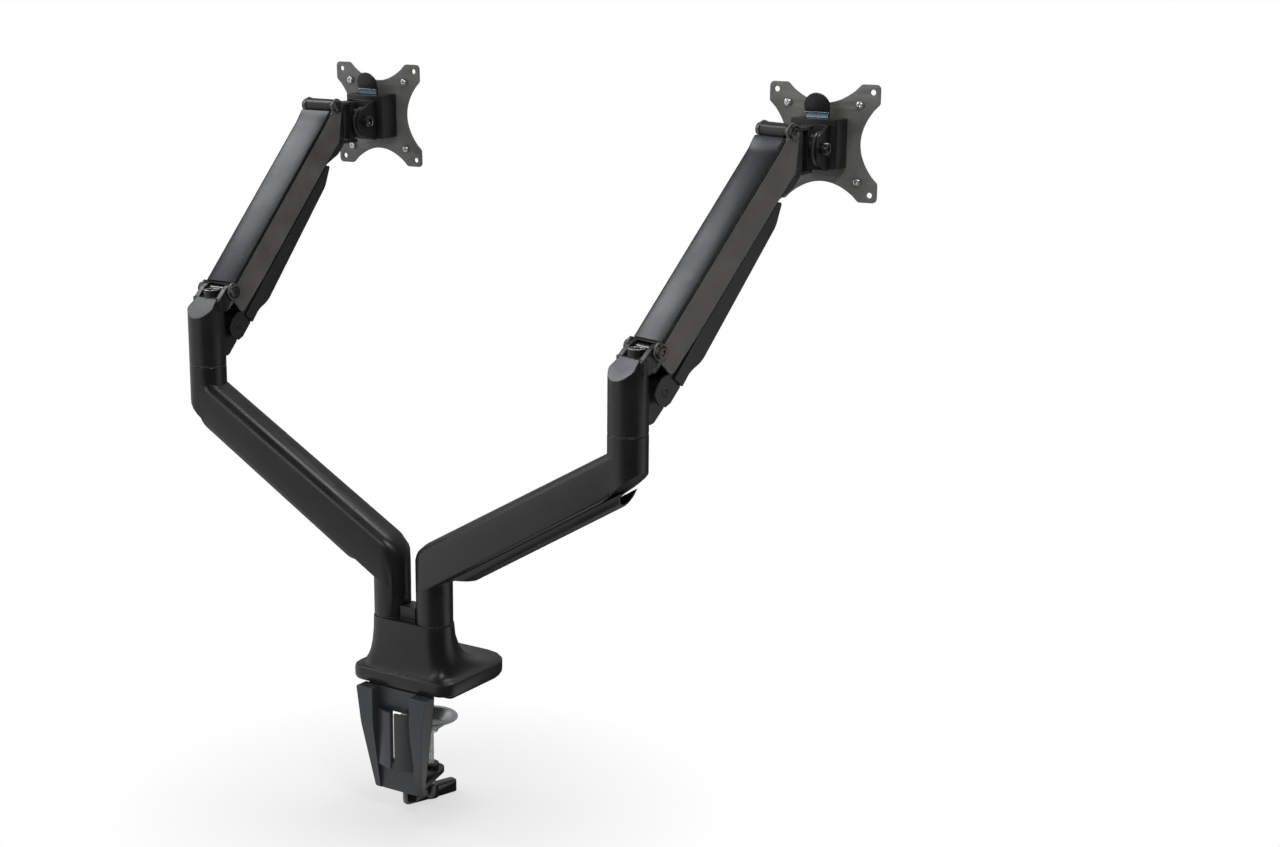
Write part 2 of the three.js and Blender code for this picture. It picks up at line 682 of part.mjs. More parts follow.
function lowerArm() {
  const post = postUnderBeam(POST_RADIUS, 0, SEAM_ABOVE, (x) => beamFloor(x) + LOWER_UNDER_EDGE);
  const elbow = cut(
    roundZ(ELBOW_RADIUS, beamFloor(LOWER_LENGTH) - 30, ELBOW_BELOW, LOWER_LENGTH),
    belowLine((x) => toeLine(x), LOWER_LENGTH - 40, LOWER_LENGTH + 40),
  );
  const above = block(LOWER_LENGTH - 60, LOWER_LENGTH + 60, -60, 60, ELBOW_BELOW, ELBOW_BELOW + 60);
  const baseBore = roundZ(PIVOT_RADIUS + RUNNING, SEAM_ABOVE - 1, BASE_PIN_TOP + SEAT);
  const elbowBore = roundZ(PIVOT_RADIUS + SEAT, ELBOW_BOLT_FOOT - SEAT, ELBOW_HEIGHT + 1, LOWER_LENGTH);
  return cut(join(lowerBeam(), post, elbow), above, baseBore, elbowBore, cableGroove());
}

// The rising beam: a round-edged section whose ends narrow to the round of the posts.
function lowerBeam() {
  const r = LOWER_HALF_WIDTH;
  const turns = [82, 62, 36, 0];
  const heel = turns.map((a) => -r * Math.sin(radians(a)));
  const toe = turns.map((a) => LOWER_LENGTH + r * Math.sin(radians(a))).reverse();
  const bend = LOWER_LENGTH - BEAM_TOE_START;
  return loft([...heel, bend, ...toe].map(beamRing));
}

function beamRing(x) {
  const past = Math.max(-x, x - LOWER_LENGTH, 0);
  const half = Math.sqrt(LOWER_HALF_WIDTH ** 2 - past ** 2);
  const drop = cornerFall(BEAM_HEEL_RADIUS, BEAM_HEEL_RADIUS - LOWER_HALF_WIDTH - x);
  const flat = LOWER_FLAT * half;
  const under = Math.min(LOWER_UNDER_EDGE, half - 0.5);
  const top = beamTop(x) - drop;
  const floor = Math.max(beamFloor(x), toeLine(x));
  const low = Math.sin(radians(CREASE_ANGLE));
  const slope = [0, 1, 2, 3].map((step) => {
    const a = radians(THREE.MathUtils.lerp(CREASE_ANGLE, 90, step / 3));
    return [
      flat + ((half - flat) * Math.cos(a)) / Math.cos(radians(CREASE_ANGLE)),
      top - LOWER_CREASE * (1 - (Math.sin(a) - low) / (1 - low)),
    ];
  });
  const round = [180, 210, 240, 270].map((a) => [
    under - half + under * Math.cos(radians(a)),
    floor + under + under * Math.sin(radians(a)),
  ]);
  const mirrored = (side) => side.map(([y, z]) => [-y, z]).reverse();
  const section = [...slope, ...mirrored(slope), ...round, ...mirrored(round)];
  return section.map(([y, z]) => new THREE.Vector3(x, y, z));
}

// How far a rounded corner has fallen away, this far past where its arc begins.
function cornerFall(radius, past) {
  return radius - Math.sqrt(radius ** 2 - Math.max(past, 0) ** 2);
}

// Everything under a sloping line, as a wide wedge to cut with.
function belowLine(line, x0, x1) {
  const wedge = outline([[x0, 0], [x1, 0], [x1, line(x1)], [x0, line(x0)]]);
  return across(wedge, -60, 60);
}

function postUnderBeam(radius, x, foot, line) {
  const reach = radius + 1;
  const under = outline([
    [x - reach, foot],
    [x + reach, foot],
    [x + reach, line(x + reach)],
    [x - reach, line(x - reach)],
  ]);
  return common(roundZ(radius, foot, line(x + reach), x), across(under, -reach, reach));
}

// A groove along the beam's underside, above the cable channel.
function cableGroove() {
  const start = CHANNEL_START + 14;
  const end = LOWER_LENGTH - ELBOW_RADIUS - 6;
  const groove = outline([
    [start, beamFloor(start) - 1],
    [end, beamFloor(end) - 1],
    [end - 4, beamFloor(end) + GROOVE_DEPTH - 2, 3],
    [start + 4, beamFloor(start) + GROOVE_DEPTH + 2, 3],
  ]);
  return across(groove, -GROOVE_HALF_WIDTH, GROOVE_HALF_WIDTH);
}

// A half-round channel that clips under the beam, its ends cut on the slant.
function lowerCableChannel() {
  const slope = Math.atan(BEAM_FLOOR_RISE);
  const length = (CHANNEL_END - CHANNEL_START) / Math.cos(slope);
  const ring = (halfWidth, depth, x) =>
    Array.from({ length: 13 }, (_, i) => {
      const a = Math.PI + (Math.PI * i) / 12;
      return new THREE.Vector3(x, halfWidth * Math.cos(a), depth * Math.sin(a) - SEAT);
    });
  const outer = loft([0, length].map((x) => ring(CHANNEL_HALF_WIDTH, CHANNEL_DEPTH, x)));
  const hollow = (x) => ring(CHANNEL_HALF_WIDTH - CHANNEL_SHEET, CHANNEL_DEPTH - CHANNEL_SHEET, x)
    .map((p) => p.setZ(p.z + (p.z > -SEAT - 0.01 ? 1 : 0)));
  const inner = loft([hollow(-1), hollow(length + 1)]);
  const ends = outline([
    [0, 0],
    [length, 0],
    [length - CHANNEL_SLANT * 0.7, -CHANNEL_DEPTH - 2],
    [CHANNEL_SLANT, -CHANNEL_DEPTH - 2],
  ]);
  const channel = common(cut(outer, inner), across(ends, -CHANNEL_HALF_WIDTH - 1, CHANNEL_HALF_WIDTH + 1));
  return channel.rotateY(-slope).translate(CHANNEL_START, 0, beamFloor(CHANNEL_START));
}

function washer(outer, inner, z) {
  const half = WASHER_THICKNESS / 2;
  return revolve([
    [inner, z - half],
    [outer, z - half],
    [outer, z + half],
    [inner, z + half],
    [inner, z - half],
  ]);
}

// ---------- elbow bolt and post: +X runs forwards from the elbow axis, heights are from the desk ----------

const POST_CROWN = ELBOW_HEIGHT + POST_TOP;
const ELBOW_BOLT_FOOT = ELBOW_HEIGHT - 38;
const ELBOW_BOLT_TOP = POST_CROWN - BOLT_DEPTH;
const LIFT_Z = ELBOW_HEIGHT + LIFT_HEIGHT;

const elbowBolt = () => revolve([
  [0, ELBOW_BOLT_FOOT],
  [PIVOT_RADIUS, ELBOW_BOLT_FOOT],
  [PIVOT_RADIUS, ELBOW_BOLT_TOP - 1.5],
  [PIVOT_RADIUS - 1.5, ELBOW_BOLT_TOP],
  [0, ELBOW_BOLT_TOP],
], 16);

function elbowPost() {
  const levelTop = POST_CROWN - SCARF_DROP + SCARF_RISE * (ELBOW_RADIUS + SCARF_END);
  const sleeve = roundZ(ELBOW_RADIUS, ELBOW_ABOVE, levelTop);
  const scarf = outline([
    [-ELBOW_RADIUS - 10, POST_CROWN - SCARF_DROP - 10 * SCARF_RISE],
    [SCARF_END, levelTop],
    [SCARF_END, levelTop + 5],
    [-ELBOW_RADIUS - 10, levelTop + 5],
  ]);
  const forkRoom = roundY(ANCHOR_EYE, -8, 8, LIFT_FORWARD + ANCHOR_FORWARD, LIFT_Z - ANCHOR_DROP);
  const adjuster = roundZ(ADJUSTER_RADIUS, levelTop - 1, POST_CROWN - 0.5, BOSS_FORWARD);
  const trimmed = cut(sleeve, across(scarf, -30, 30), shoulder(-1), shoulder(1));
  const boltBore = roundZ(PIVOT_RADIUS + RUNNING, ELBOW_HEIGHT - 1, ELBOW_BOLT_TOP + SEAT);
  const key = socket(ADJUSTER_SOCKET, POST_CROWN - 5, POST_CROWN + 1).translate(BOSS_FORWARD, 0, 0);
  const hinge = roundY(HINGE_PIN_RADIUS + RUNNING, -30, 30, LIFT_FORWARD, LIFT_Z);
  const linkHole = roundY(LINK_PIN_RADIUS + SEAT, -30, 30, LIFT_FORWARD + LINK_FORWARD, LIFT_Z - LINK_DROP);
  const fork = cut(join(trimmed, adjuster, lug(-1), lug(1)), forkRoom);
  return cut(join(fork, gusset()), boltBore, key, hinge, linkHole);
}

// What the oblique face's rounded shoulder takes off one side of the post.
function shoulder(side) {
  const foot = POST_CROWN - SCARF_DROP + 2;
  const wedge = outline([
    [side * (ELBOW_RADIUS + 0.5), foot],
    [side * (ELBOW_RADIUS + 5), foot],
    [side * (ELBOW_RADIUS + 5), POST_CROWN + 5],
    [side * (ELBOW_RADIUS - SCARF_SHOULDER), POST_CROWN + 5],
  ]);
  return along(wedge, -ELBOW_RADIUS - 2, SCARF_END);
}

// One ear of the fork on the lift pin, between the shell's walls.
function lug(side) {
  const inner = EAR_GAP / 2;
  const outer = UPPER_HALF_WIDTH - SHELL_WALL - RUNNING;
  const arm = outline([
    [0.5, LIFT_Z - 22],
    [11, LIFT_Z - 20, 3],
    [LIFT_FORWARD + 3, LIFT_Z - LUG_RADIUS + 1],
    [LIFT_FORWARD - 2, LIFT_Z + LUG_RADIUS - 0.5],
    [12, POST_CROWN + 1, 3],
    [0.5, POST_CROWN - 10],
  ]);
  const [y0, y1] = side < 0 ? [-outer, -inner] : [inner, outer];
  return join(across(arm, y0, y1), roundY(LUG_RADIUS, y0, y1, LIFT_FORWARD, LIFT_Z));
}

// The web in front of the post: it holds the link's pivot and ends in the gas spring's anchor.
function gusset() {
  const linkX = LIFT_FORWARD + LINK_FORWARD;
  const linkZ = LIFT_Z - LINK_DROP;
  const anchorX = LIFT_FORWARD + ANCHOR_FORWARD;
  const anchorZ = LIFT_Z - ANCHOR_DROP;
  const web = outline([
    [PIVOT_RADIUS + 3, ELBOW_ABOVE + 4.5],
    [linkX - 4.5, ELBOW_ABOVE + 6, 4],
    [linkX + GUSSET_EYE, linkZ - 16, 6],
    [linkX + GUSSET_EYE, linkZ + 4, 6],
    [linkX + 2, linkZ + GUSSET_EYE + 2, 3],
    [PIVOT_RADIUS + 3, linkZ + GUSSET_EYE + 4],
  ]);
  const tongue = strap([anchorX, anchorZ, ANCHOR_EYE], [linkX - 6, linkZ, ANCHOR_EYE]);
  const hole = roundY(ANCHOR_HOLE, -20, 20, anchorX, anchorZ);
  return cut(
    join(
      across(web, -GUSSET_HALF_WIDTH, GUSSET_HALF_WIDTH),
      across(tongue, -TONGUE_HALF_WIDTH, TONGUE_HALF_WIDTH),
    ),
    hole,
  );
}

// A pin across the shell's walls, with a round socket head against each.
function headedPin() {
  const under = UPPER_HALF_WIDTH + SEAT;
  const face = under + PIN_HEAD;
  const head = (side) => revolve([
    [0, under],
    [PIN_HEAD_RADIUS, under],
    [PIN_HEAD_RADIUS, face - 0.7],
    [PIN_HEAD_RADIUS - 0.7, face],
    [0, face],
  ], 14).rotateX((side * Math.PI) / 2);
  const recess = (side) => roundY(2.9, -1.6, 1.6, 0, 0, 6).translate(0, side * face, 0);
  return cut(
    join(roundY(HINGE_PIN_RADIUS, -under - 1, under + 1), head(-1), head(1)),
    recess(-1),
    recess(1),
  );
}

// A plain pin across the lower link's cheeks.
const linkPin = () => roundY(LINK_PIN_RADIUS, -LINK_OUTER, LINK_OUTER);

// ---------- upper arm: +X runs along the arm from the lift pin, +Z is its top side ----------

function upperShell() {
  const end = UPPER_LENGTH;
  const side = outline([
    [-HUB_RADIUS, HUB_RADIUS, HUB_RADIUS],
    [HUB_RADIUS, HUB_RADIUS, HUB_RADIUS - 1],
    [HUB_RADIUS, SHELL_TOP],
    [LID_END + 2, SHELL_TOP, 2],
    [end - 5, HUB_RADIUS + 0.7, 4],
    [end + 8, HUB_RADIUS - 1.2, 6],
    [end + 9, -4, 5],
    [end - 27, -SHELL_DEPTH - 1, 3],
    [end - 40, -SHELL_DEPTH],
    [38, -SHELL_DEPTH],
    [-9.5, -SHELL_DEPTH + 1.7, 4],
    [-HUB_RADIUS, -15, 8],
  ]);
  const inner = UPPER_HALF_WIDTH - SHELL_WALL;
  const body = across(side, -UPPER_HALF_WIDTH, UPPER_HALF_WIDTH);
  const cavity = block(-30, end + 30, -inner, inner, -SHELL_DEPTH - 20, SHELL_TOP - SHELL_WEB);
  const lowerMouth = block(-30, LID_START - 1, -inner, inner, -SHELL_DEPTH - 20, 20);
  const upperMouth = block(LID_END - 3, end + 30, -inner, inner, -SHELL_DEPTH - 20, 20);
  const channel = cut(body, cavity, lowerMouth, upperMouth);
  const wall = SPRING_END + SEAT;
  const bulkhead = block(
    wall, wall + BULKHEAD, -inner - 0.5, inner + 0.5, SPRING_AXIS - 11, SHELL_TOP - 1,
  );
  const stubHole = roundX(ROD_RADIUS + SEAT, SPRING_END - 2, SPRING_END + BULKHEAD + 4, 0, SPRING_AXIS);
  return cut(
    join(channel, bulkhead),
    roundY(HINGE_PIN_RADIUS + SEAT, -30, 30),
    roundY(HINGE_PIN_RADIUS + SEAT, -30, 30, end),
    stubHole,
    postRelief(),
  );
}

// The room that the post takes in the shell when the arm is at its lowest.
function postRelief() {
  const post = roundZ(ELBOW_RADIUS + RUNNING, -90, 30, -LIFT_FORWARD);
  return post.rotateY(radians(LIFT_LOW));
}

function upperLid() {
  const half = UPPER_HALF_WIDTH;
  const foot = SHELL_TOP + SEAT;
  const top = foot + LID_THICKNESS;
  const section = outline([
    [-half, foot],
    [half, foot],
    [half, top - 0.6, LID_EDGE],
    [half - 4, top, 6],
    [4 - half, top, 6],
    [-half, top - 0.6, LID_EDGE],
  ]);
  const lid = along(section, LID_START, LID_END);
  const bar = roundY(1.6, -half, half, LID_END - 0.5, foot + 1.7);
  return join(lid, bar);
}

function springCylinder() {
  const body = revolve([
    [0, SPRING_START],
    [SPRING_RADIUS - 1, SPRING_START],
    [SPRING_RADIUS, SPRING_START + 1.5],
    [SPRING_RADIUS, SPRING_END - 1.5],
    [SPRING_RADIUS - 1.5, SPRING_END],
    [ROD_RADIUS, SPRING_END],
    [ROD_RADIUS, SPRING_END + BULKHEAD + 1.5],
    [0, SPRING_END + BULKHEAD + 1.5],
  ], 16).rotateY(Math.PI / 2).translate(0, 0, SPRING_AXIS);
  return cut(body, roundX(ROD_RADIUS + RUNNING, SPRING_START - 1, SPRING_END - 8, 0, SPRING_AXIS));
}

// The spring's rod ends in a fork whose pin crosses the post's anchor eye.
function springRod(anchor) {
  const side = strap([anchor, SPRING_AXIS, 5.5], [anchor + 17, SPRING_AXIS, 5.5]);
  const cheek = (y0, y1) => across(side, y0, y1);
  const gap = TONGUE_HALF_WIDTH + RUNNING;
  const outer = gap + 2.2;
  const crown = block(anchor + 13.5, anchor + 20, -outer, outer, SPRING_AXIS - 5.5, SPRING_AXIS + 5.5);
  const shaft = roundX(ROD_RADIUS, anchor + 15, SPRING_START + 45, 0, SPRING_AXIS);
  const pin = roundY(ROD_PIN_RADIUS, -outer - 1, outer + 1, anchor, SPRING_AXIS);
  return join(cheek(-outer, -gap), cheek(gap, outer), crown, shaft, pin);
}

// ---------- lower link: +X runs along it from its lower pivot ----------

const LINK_OUTER = UPPER_HALF_WIDTH - SHELL_WALL - RUNNING;

function tieLink() {
  const side = outline([
    [-LINK_HOOK_RADIUS, LINK_HOOK_RADIUS - 1, LINK_HOOK_RADIUS - 1.5],
    [-LINK_HOOK_RADIUS, -LINK_HOOK_RADIUS, 9],
    [TRAY_START - SEAT, -LINK_HOOK_RADIUS, 1.5],
    [TRAY_START - SEAT, LINK_FLOOR],
    [TRAY_END - 34, LINK_FLOOR, 8],
    [TRAY_END + 1, 1.6, 6],
    [UPPER_LENGTH - 13, -6.5, 8],
    [UPPER_LENGTH + LINK_END_RADIUS, -LINK_END_RADIUS, LINK_END_RADIUS],
    [UPPER_LENGTH + LINK_END_RADIUS, LINK_END_RADIUS, LINK_END_RADIUS],
    [UPPER_LENGTH - 12, LINK_TOP, 8],
    [22, LINK_TOP, 8],
    [9, LINK_HOOK_RADIUS - 1, 8],
  ]);
  const inner = LINK_OUTER - LINK_SHEET;
  const cheeks = cut(
    across(side, -LINK_OUTER, LINK_OUTER),
    across(outline([
      [-40, 40],
      [-40, -40],
      [TRAY_START + 8, -40],
      [TRAY_START + 8, LINK_FLOOR + LINK_SHEET, 2],
      [TRAY_END - 26, LINK_FLOOR + LINK_SHEET, 2],
      [TRAY_END - 26, -40],
      [UPPER_LENGTH + 40, -40],
      [UPPER_LENGTH + 40, 40],
    ]), -inner, inner),
  );
  return cut(
    cheeks,
    roundY(LINK_PIN_RADIUS + SEAT, -30, 30),
    roundY(LINK_PIN_RADIUS + SEAT, -30, 30, UPPER_LENGTH),
  );
}

// The cable tray that clips round the link, flush with the shell above it.
function cableTray() {
  const foot = -17.1;
  const side = (thin) => outline([
    [TRAY_START - thin, 0.5 + thin],
    [62, TRAY_TOP + thin, 30],
    [TRAY_END - 2 + thin, TRAY_TOP + thin],
    [TRAY_END + 2 + thin, -1.2 + thin, 4],
    [TRAY_END - 20, -10.1 + thin, 16],
    [47, foot + thin, 16],
    [31, -11.4 + thin, 14],
    [TRAY_START - thin, -12.3 + thin],
  ]);
  const inner = UPPER_HALF_WIDTH - TRAY_WALL;
  const outer = across(side(0), -UPPER_HALF_WIDTH, UPPER_HALF_WIDTH);
  return cut(outer, across(side(TRAY_WALL), -inner, inner));
}

// ---------- head knuckle: +X forwards, level, from the head pin ----------

function headKnuckle() {
  const half = LINK_OUTER - LINK_SHEET - RUNNING;
  const swing = SWIVEL_FORWARD - SWIVEL_HALF_WIDTH - RUNNING;
  const web = outline([
    [-HUB_RADIUS, -2, 4],
    [LINK_FORWARD - 7.5, -LINK_DROP, 5],
    [LINK_FORWARD, -LINK_DROP - 7.5, 7],
    [SWIVEL_FORWARD, -SWIVEL_DROP - KNUCKLE_HALF_HEIGHT, 1],
    [SWIVEL_FORWARD, -SWIVEL_DROP + KNUCKLE_HALF_HEIGHT, 1],
    [3, HUB_RADIUS, 6],
    [-HUB_RADIUS, 4, 4],
  ]);
  const barrel = roundZ(
    KNUCKLE_RADIUS,
    -SWIVEL_DROP - KNUCKLE_HALF_HEIGHT,
    -SWIVEL_DROP + KNUCKLE_HALF_HEIGHT,
    SWIVEL_FORWARD,
  );
  const plan = raised(strap([0, 0, half], [SWIVEL_FORWARD, 0, KNUCKLE_RADIUS]), -80, 40);
  const body = join(common(across(web, -half, half), plan), barrel);
  const hub = roundY(HUB_RADIUS, -LINK_OUTER, LINK_OUTER);
  const lowLug = common(roundY(7, -half, half, LINK_FORWARD, -LINK_DROP), plan);
  return cut(
    join(body, hub, lowLug),
    roundY(HINGE_PIN_RADIUS + RUNNING, -30, 30),
    roundY(LINK_PIN_RADIUS + RUNNING, -30, 30, LINK_FORWARD, -LINK_DROP),
    roundZ(SWIVEL_PIN_RADIUS + RUNNING, -80, 20, SWIVEL_FORWARD),
    block(swing, 60, -30, 30, KNUCKLE_HALF_HEIGHT - SWIVEL_DROP, 40),
    block(swing, 60, -30, 30, -80, -KNUCKLE_HALF_HEIGHT - SWIVEL_DROP),
  );
}

// ---------- swivel bracket: +X towards the monitor from its pin, heights from the tilt axis ----------

const SWIVEL_INSIDE = KNUCKLE_HALF_HEIGHT + RUNNING;

function swivelBracket() {
  const nose = TILT_REACH - 4;
  const plan = outline([
    [-SWIVEL_HALF_WIDTH, -SWIVEL_HALF_WIDTH, SWIVEL_HALF_WIDTH],
    [nose, -SWIVEL_HALF_WIDTH, 3],
    [nose, SWIVEL_HALF_WIDTH, 3],
    [-SWIVEL_HALF_WIDTH, SWIVEL_HALF_WIDTH, SWIVEL_HALF_WIDTH],
  ]);
  const outside = SWIVEL_INSIDE + SWIVEL_SHEET;
  const rib = SWIVEL_HALF_WIDTH - 1;
  const web = block(KNUCKLE_RADIUS + 5.5, 22, -rib, rib, -outside + 1, outside - 1);
  const barrel = roundY(
    TILT_BARREL_RADIUS, -TILT_BARREL_HALF, EAR_INSIDE - SEAT, TILT_REACH,
  );
  return cut(
    join(raised(plan, SWIVEL_INSIDE, outside), raised(plan, -outside, -SWIVEL_INSIDE), web, barrel),
    roundY(TILT_BOLT_RADIUS + RUNNING, -30, 30, TILT_REACH),
    roundZ(SWIVEL_PIN_RADIUS + RUNNING, -40, 40),
  );
}

function swivelPin() {
  const grip = SWIVEL_INSIDE + SWIVEL_SHEET + SEAT;
  return revolve([
    [0, -grip - 2],
    [5.5, -grip - 2],
    [6.3, -grip],
    [SWIVEL_PIN_RADIUS, -grip],
    [SWIVEL_PIN_RADIUS, grip],
    [6.3, grip],
    [5.5, grip + 2],
    [0, grip + 2],
  ], 12);
}

// ---------- tilt yoke, bolt and washer: from the tilt axis ----------

const EAR_INSIDE = TILT_BARREL_HALF + TILT_WASHER + 2 * SEAT;
const EAR_OUTSIDE = EAR_INSIDE + EAR_SHEET;

function tiltYoke() {
  const back = YOKE_REACH + YOKE_SHEET;
  const cheek = new THREE.Shape();
  const swing = radians(52);
  cheek.moveTo(back, -EAR_HALF_HEIGHT);
  cheek.lineTo(back, EAR_HALF_HEIGHT);
  cheek.lineTo(YOKE_REACH - 2, EAR_HALF_HEIGHT);
  cheek.absarc(0, 0, EAR_RADIUS, Math.PI - swing - 0.5, Math.PI + swing + 0.5, false);
  cheek.lineTo(YOKE_REACH - 2, -EAR_HALF_HEIGHT);
  cheek.closePath();
  const ear = (y0) => across(cheek, y0, y0 + EAR_SHEET, 0, 6);
  const web = block(YOKE_REACH, back, -EAR_OUTSIDE, EAR_OUTSIDE, -EAR_HALF_HEIGHT, EAR_HALF_HEIGHT);
  const inside = back + 2 * SEAT + BOX_WALL;
  const stud = roundX(STUD_RADIUS, back - 1, inside + 1.5, 0, PLATE_RAISE);
  const flange = roundX(STUD_RADIUS + 3, inside, inside + 2.4, 0, PLATE_RAISE);
  return cut(
    join(ear(EAR_INSIDE), ear(-EAR_OUTSIDE), web, stud, flange),
    roundY(TILT_BOLT_RADIUS + SEAT, -30, 30),
  );
}

function tiltBolt() {
  const head = -EAR_OUTSIDE - SEAT;
  const bolt = join(
    roundY(TILT_BOLT_RADIUS, head - 1, EAR_OUTSIDE + 2.5),
    roundY(TILT_HEAD_RADIUS, head - TILT_HEAD_LENGTH, head),
  );
  return cut(bolt, roundY(3.4, head - TILT_HEAD_LENGTH - 1, head - TILT_HEAD_LENGTH + 4, 0, 0, 6));
}

function tiltWasher() {
  const y0 = -TILT_BARREL_HALF - SEAT - TILT_WASHER;
  return cut(
    roundY(TILT_WASHER_RADIUS, y0, y0 + TILT_WASHER),
    roundY(TILT_BOLT_RADIUS + SEAT, y0 - 1, y0 + TILT_WASHER + 1),
  );
}

// ---------- quick-release box, latch and VESA plate: +X towards the monitor from the plate's back ----------

const BOX_BACK = -(PLATE_REACH - YOKE_REACH - YOKE_SHEET - SEAT);

function plateBox() {
  const shape = outline([
    [BOX_BACK, -BOX_HALF_WIDTH, 5],
    [-SEAT, -BOX_HALF_WIDTH],
    [-SEAT, BOX_HALF_WIDTH],
    [BOX_BACK, BOX_HALF_WIDTH, 5],
  ]);
  const shell = raised(shape, -BOX_HALF_HEIGHT, BOX_HALF_HEIGHT);
  const inner = BOX_HALF_WIDTH - BOX_WALL;
  const low = -BOX_HALF_HEIGHT + BOX_WALL;
  const tongueHalf = TONGUE_WIDTH / 2 + SEAT;
  const latchRoom = LATCH_HALF_WIDTH + 1;
  return cut(
    shell,
    block(BOX_BACK + BOX_WALL, -TONGUE_DEPTH - SEAT, -inner, inner, low, BOX_HALF_HEIGHT - BOX_WALL),
    block(-TONGUE_DEPTH - 1, 1, -tongueHalf, tongueHalf, -TONGUE_HALF_HEIGHT - SEAT, BOX_HALF_HEIGHT + 1),
    block(-LATCH_SETBACK - 6, -TONGUE_DEPTH, -latchRoom, latchRoom, 0, BOX_HALF_HEIGHT + 1),
    roundX(STUD_RADIUS + RUNNING, BOX_BACK - 1, BOX_BACK + BOX_WALL + 1),
  );
}

function releaseTab() {
  const back = -LATCH_SETBACK - LATCH_SHEET;
  const half = LATCH_HALF_WIDTH;
  const strip = block(back, -LATCH_SETBACK, -half, half, -LATCH_PIVOT_DROP, TAB_FOOT + 2);
  const reach = BOX_HALF_WIDTH - BOX_WALL - SEAT;
  const pivot = roundY(LATCH_PIVOT_RADIUS, -reach, reach, back + LATCH_SHEET / 2, -LATCH_PIVOT_DROP);
  const cheek = Math.acos((TAB_CENTRE - TAB_FOOT) / TAB_RADIUS);
  const face = new THREE.Shape();
  face.absarc(0, TAB_CENTRE - TAB_FOOT, TAB_RADIUS, cheek - Math.PI / 2, 1.5 * Math.PI - cheek, false);
  face.closePath();
  const tab = along(face, -TAB_SHEET / 2, TAB_SHEET / 2, 0.6, 7)
    .rotateY(radians(-TAB_LEAN))
    .translate(back - 0.4, 0, TAB_FOOT);
  return join(strip, pivot, tab);
}

// The X-shaped plate: four square-ended legs joined by hollow sides.
function vesaOutline() {
  const legStart = PLATE_HALF - LEG_END;
  const shape = new THREE.Shape();
  const turned = (x, y, quarter) => {
    const point = new THREE.Vector2(x, y).rotateAround(new THREE.Vector2(), (quarter * Math.PI) / 2);
    return [point.x, point.y];
  };
  shape.moveTo(...turned(PLATE_HALF, -legStart, 0));
  for (let quarter = 0; quarter < 4; quarter++) {
    const at = (x, y) => turned(x, y, quarter);
    const from = at(PLATE_HALF, -legStart);
    if (quarter) shape.lineTo(...from);
    shape.lineTo(...at(PLATE_HALF - 7, 7 - legStart));
    shape.quadraticCurveTo(...at(WAIST, -20), ...at(WAIST, 0));
    shape.quadraticCurveTo(...at(WAIST, 20), ...at(PLATE_HALF - 7, legStart - 7));
    shape.lineTo(...at(PLATE_HALF, legStart));
    shape.lineTo(...at(PLATE_HALF, PLATE_HALF - 5));
    shape.quadraticCurveTo(...at(PLATE_HALF, PLATE_HALF), ...at(PLATE_HALF - 5, PLATE_HALF));
  }
  shape.closePath();
  for (const spacing of [VESA_LARGE, VESA_SMALL]) {
    for (const [x, y] of [[-1, -1], [1, -1], [1, 1], [-1, 1]]) {
      const hole = new THREE.Path();
      hole.absarc((x * spacing) / 2, (y * spacing) / 2, VESA_HOLE_RADIUS, 0, 2 * Math.PI, false);
      shape.holes.push(hole);
    }
  }
  return shape;
}

function vesaPlate() {
  const half = TONGUE_WIDTH / 2;
  const tongue = block(-TONGUE_DEPTH, 1, -half, half, -TONGUE_HALF_HEIGHT, TONGUE_HALF_HEIGHT);
  return join(along(vesaOutline(), 0, PLATE_SHEET, 0, 3), tongue);
}

// ---------- assembly ----------

function plateParts(name) {
  return group(PLATE_REACH, 0, PLATE_RAISE,
    piece(`${name}_plate_box`, "coat", plateBox()),
    piece(`${name}_release_tab`, "plastic", releaseTab()),
    piece(`${name}_vesa_plate`, "coat", vesaPlate()),
  );
}

function headParts(arm) {
  const { name } = arm;
  const tilt = group(TILT_REACH, 0, 0,
    piece(`${name}_tilt_yoke`, "coat", tiltYoke()),
    piece(`${name}_tilt_bolt`, "steel", tiltBolt()),
    piece(`${name}_tilt_washer`, "steel", tiltWasher()),
    plateParts(name),
  );
  tilt.rotation.y = radians(arm.tilt);
  const swivel = group(SWIVEL_FORWARD, 0, -SWIVEL_DROP,
    piece(`${name}_swivel_bracket`, "coat", swivelBracket()),
    piece(`${name}_swivel_pin`, "steel", swivelPin()),
    tilt,
  );
  swivel.rotation.z = radians(arm.plate - arm.upper);
  const upperPin = piece(`${name}_link_upper_pin`, "steel", linkPin());
  upperPin.position.set(LINK_FORWARD, 0, -LINK_DROP);
  return group(UPPER_LENGTH, 0, 0,
    piece(`${name}_head_knuckle`, "coat", headKnuckle()),
    upperPin,
    swivel,
  );
}

// Where the gas spring's anchor lies along the upper arm at a given lift angle.
function anchorAlong(lift) {
  return ANCHOR_FORWARD * Math.cos(radians(lift)) - ANCHOR_DROP * Math.sin(radians(lift));
}

function upperParts(arm) {
  const { name } = arm;
  const liftPin = piece(`${name}_lift_pin`, "steel", headedPin());
  const headPin = piece(`${name}_head_pin`, "steel", headedPin());
  headPin.position.x = UPPER_LENGTH;
  const head = headParts(arm);
  head.rotation.y = radians(arm.lift);
  const upper = group(LIFT_FORWARD, 0, LIFT_Z,
    piece(`${name}_upper_shell`, "coat", upperShell()),
    piece(`${name}_upper_lid`, "coat", upperLid()),
    piece(`${name}_gas_spring_cylinder`, "steel", springCylinder()),
    piece(`${name}_gas_spring_rod`, "zinc", springRod(anchorAlong(arm.lift))),
    liftPin,
    headPin,
    head,
  );
  upper.rotation.y = -radians(arm.lift);
  return upper;
}

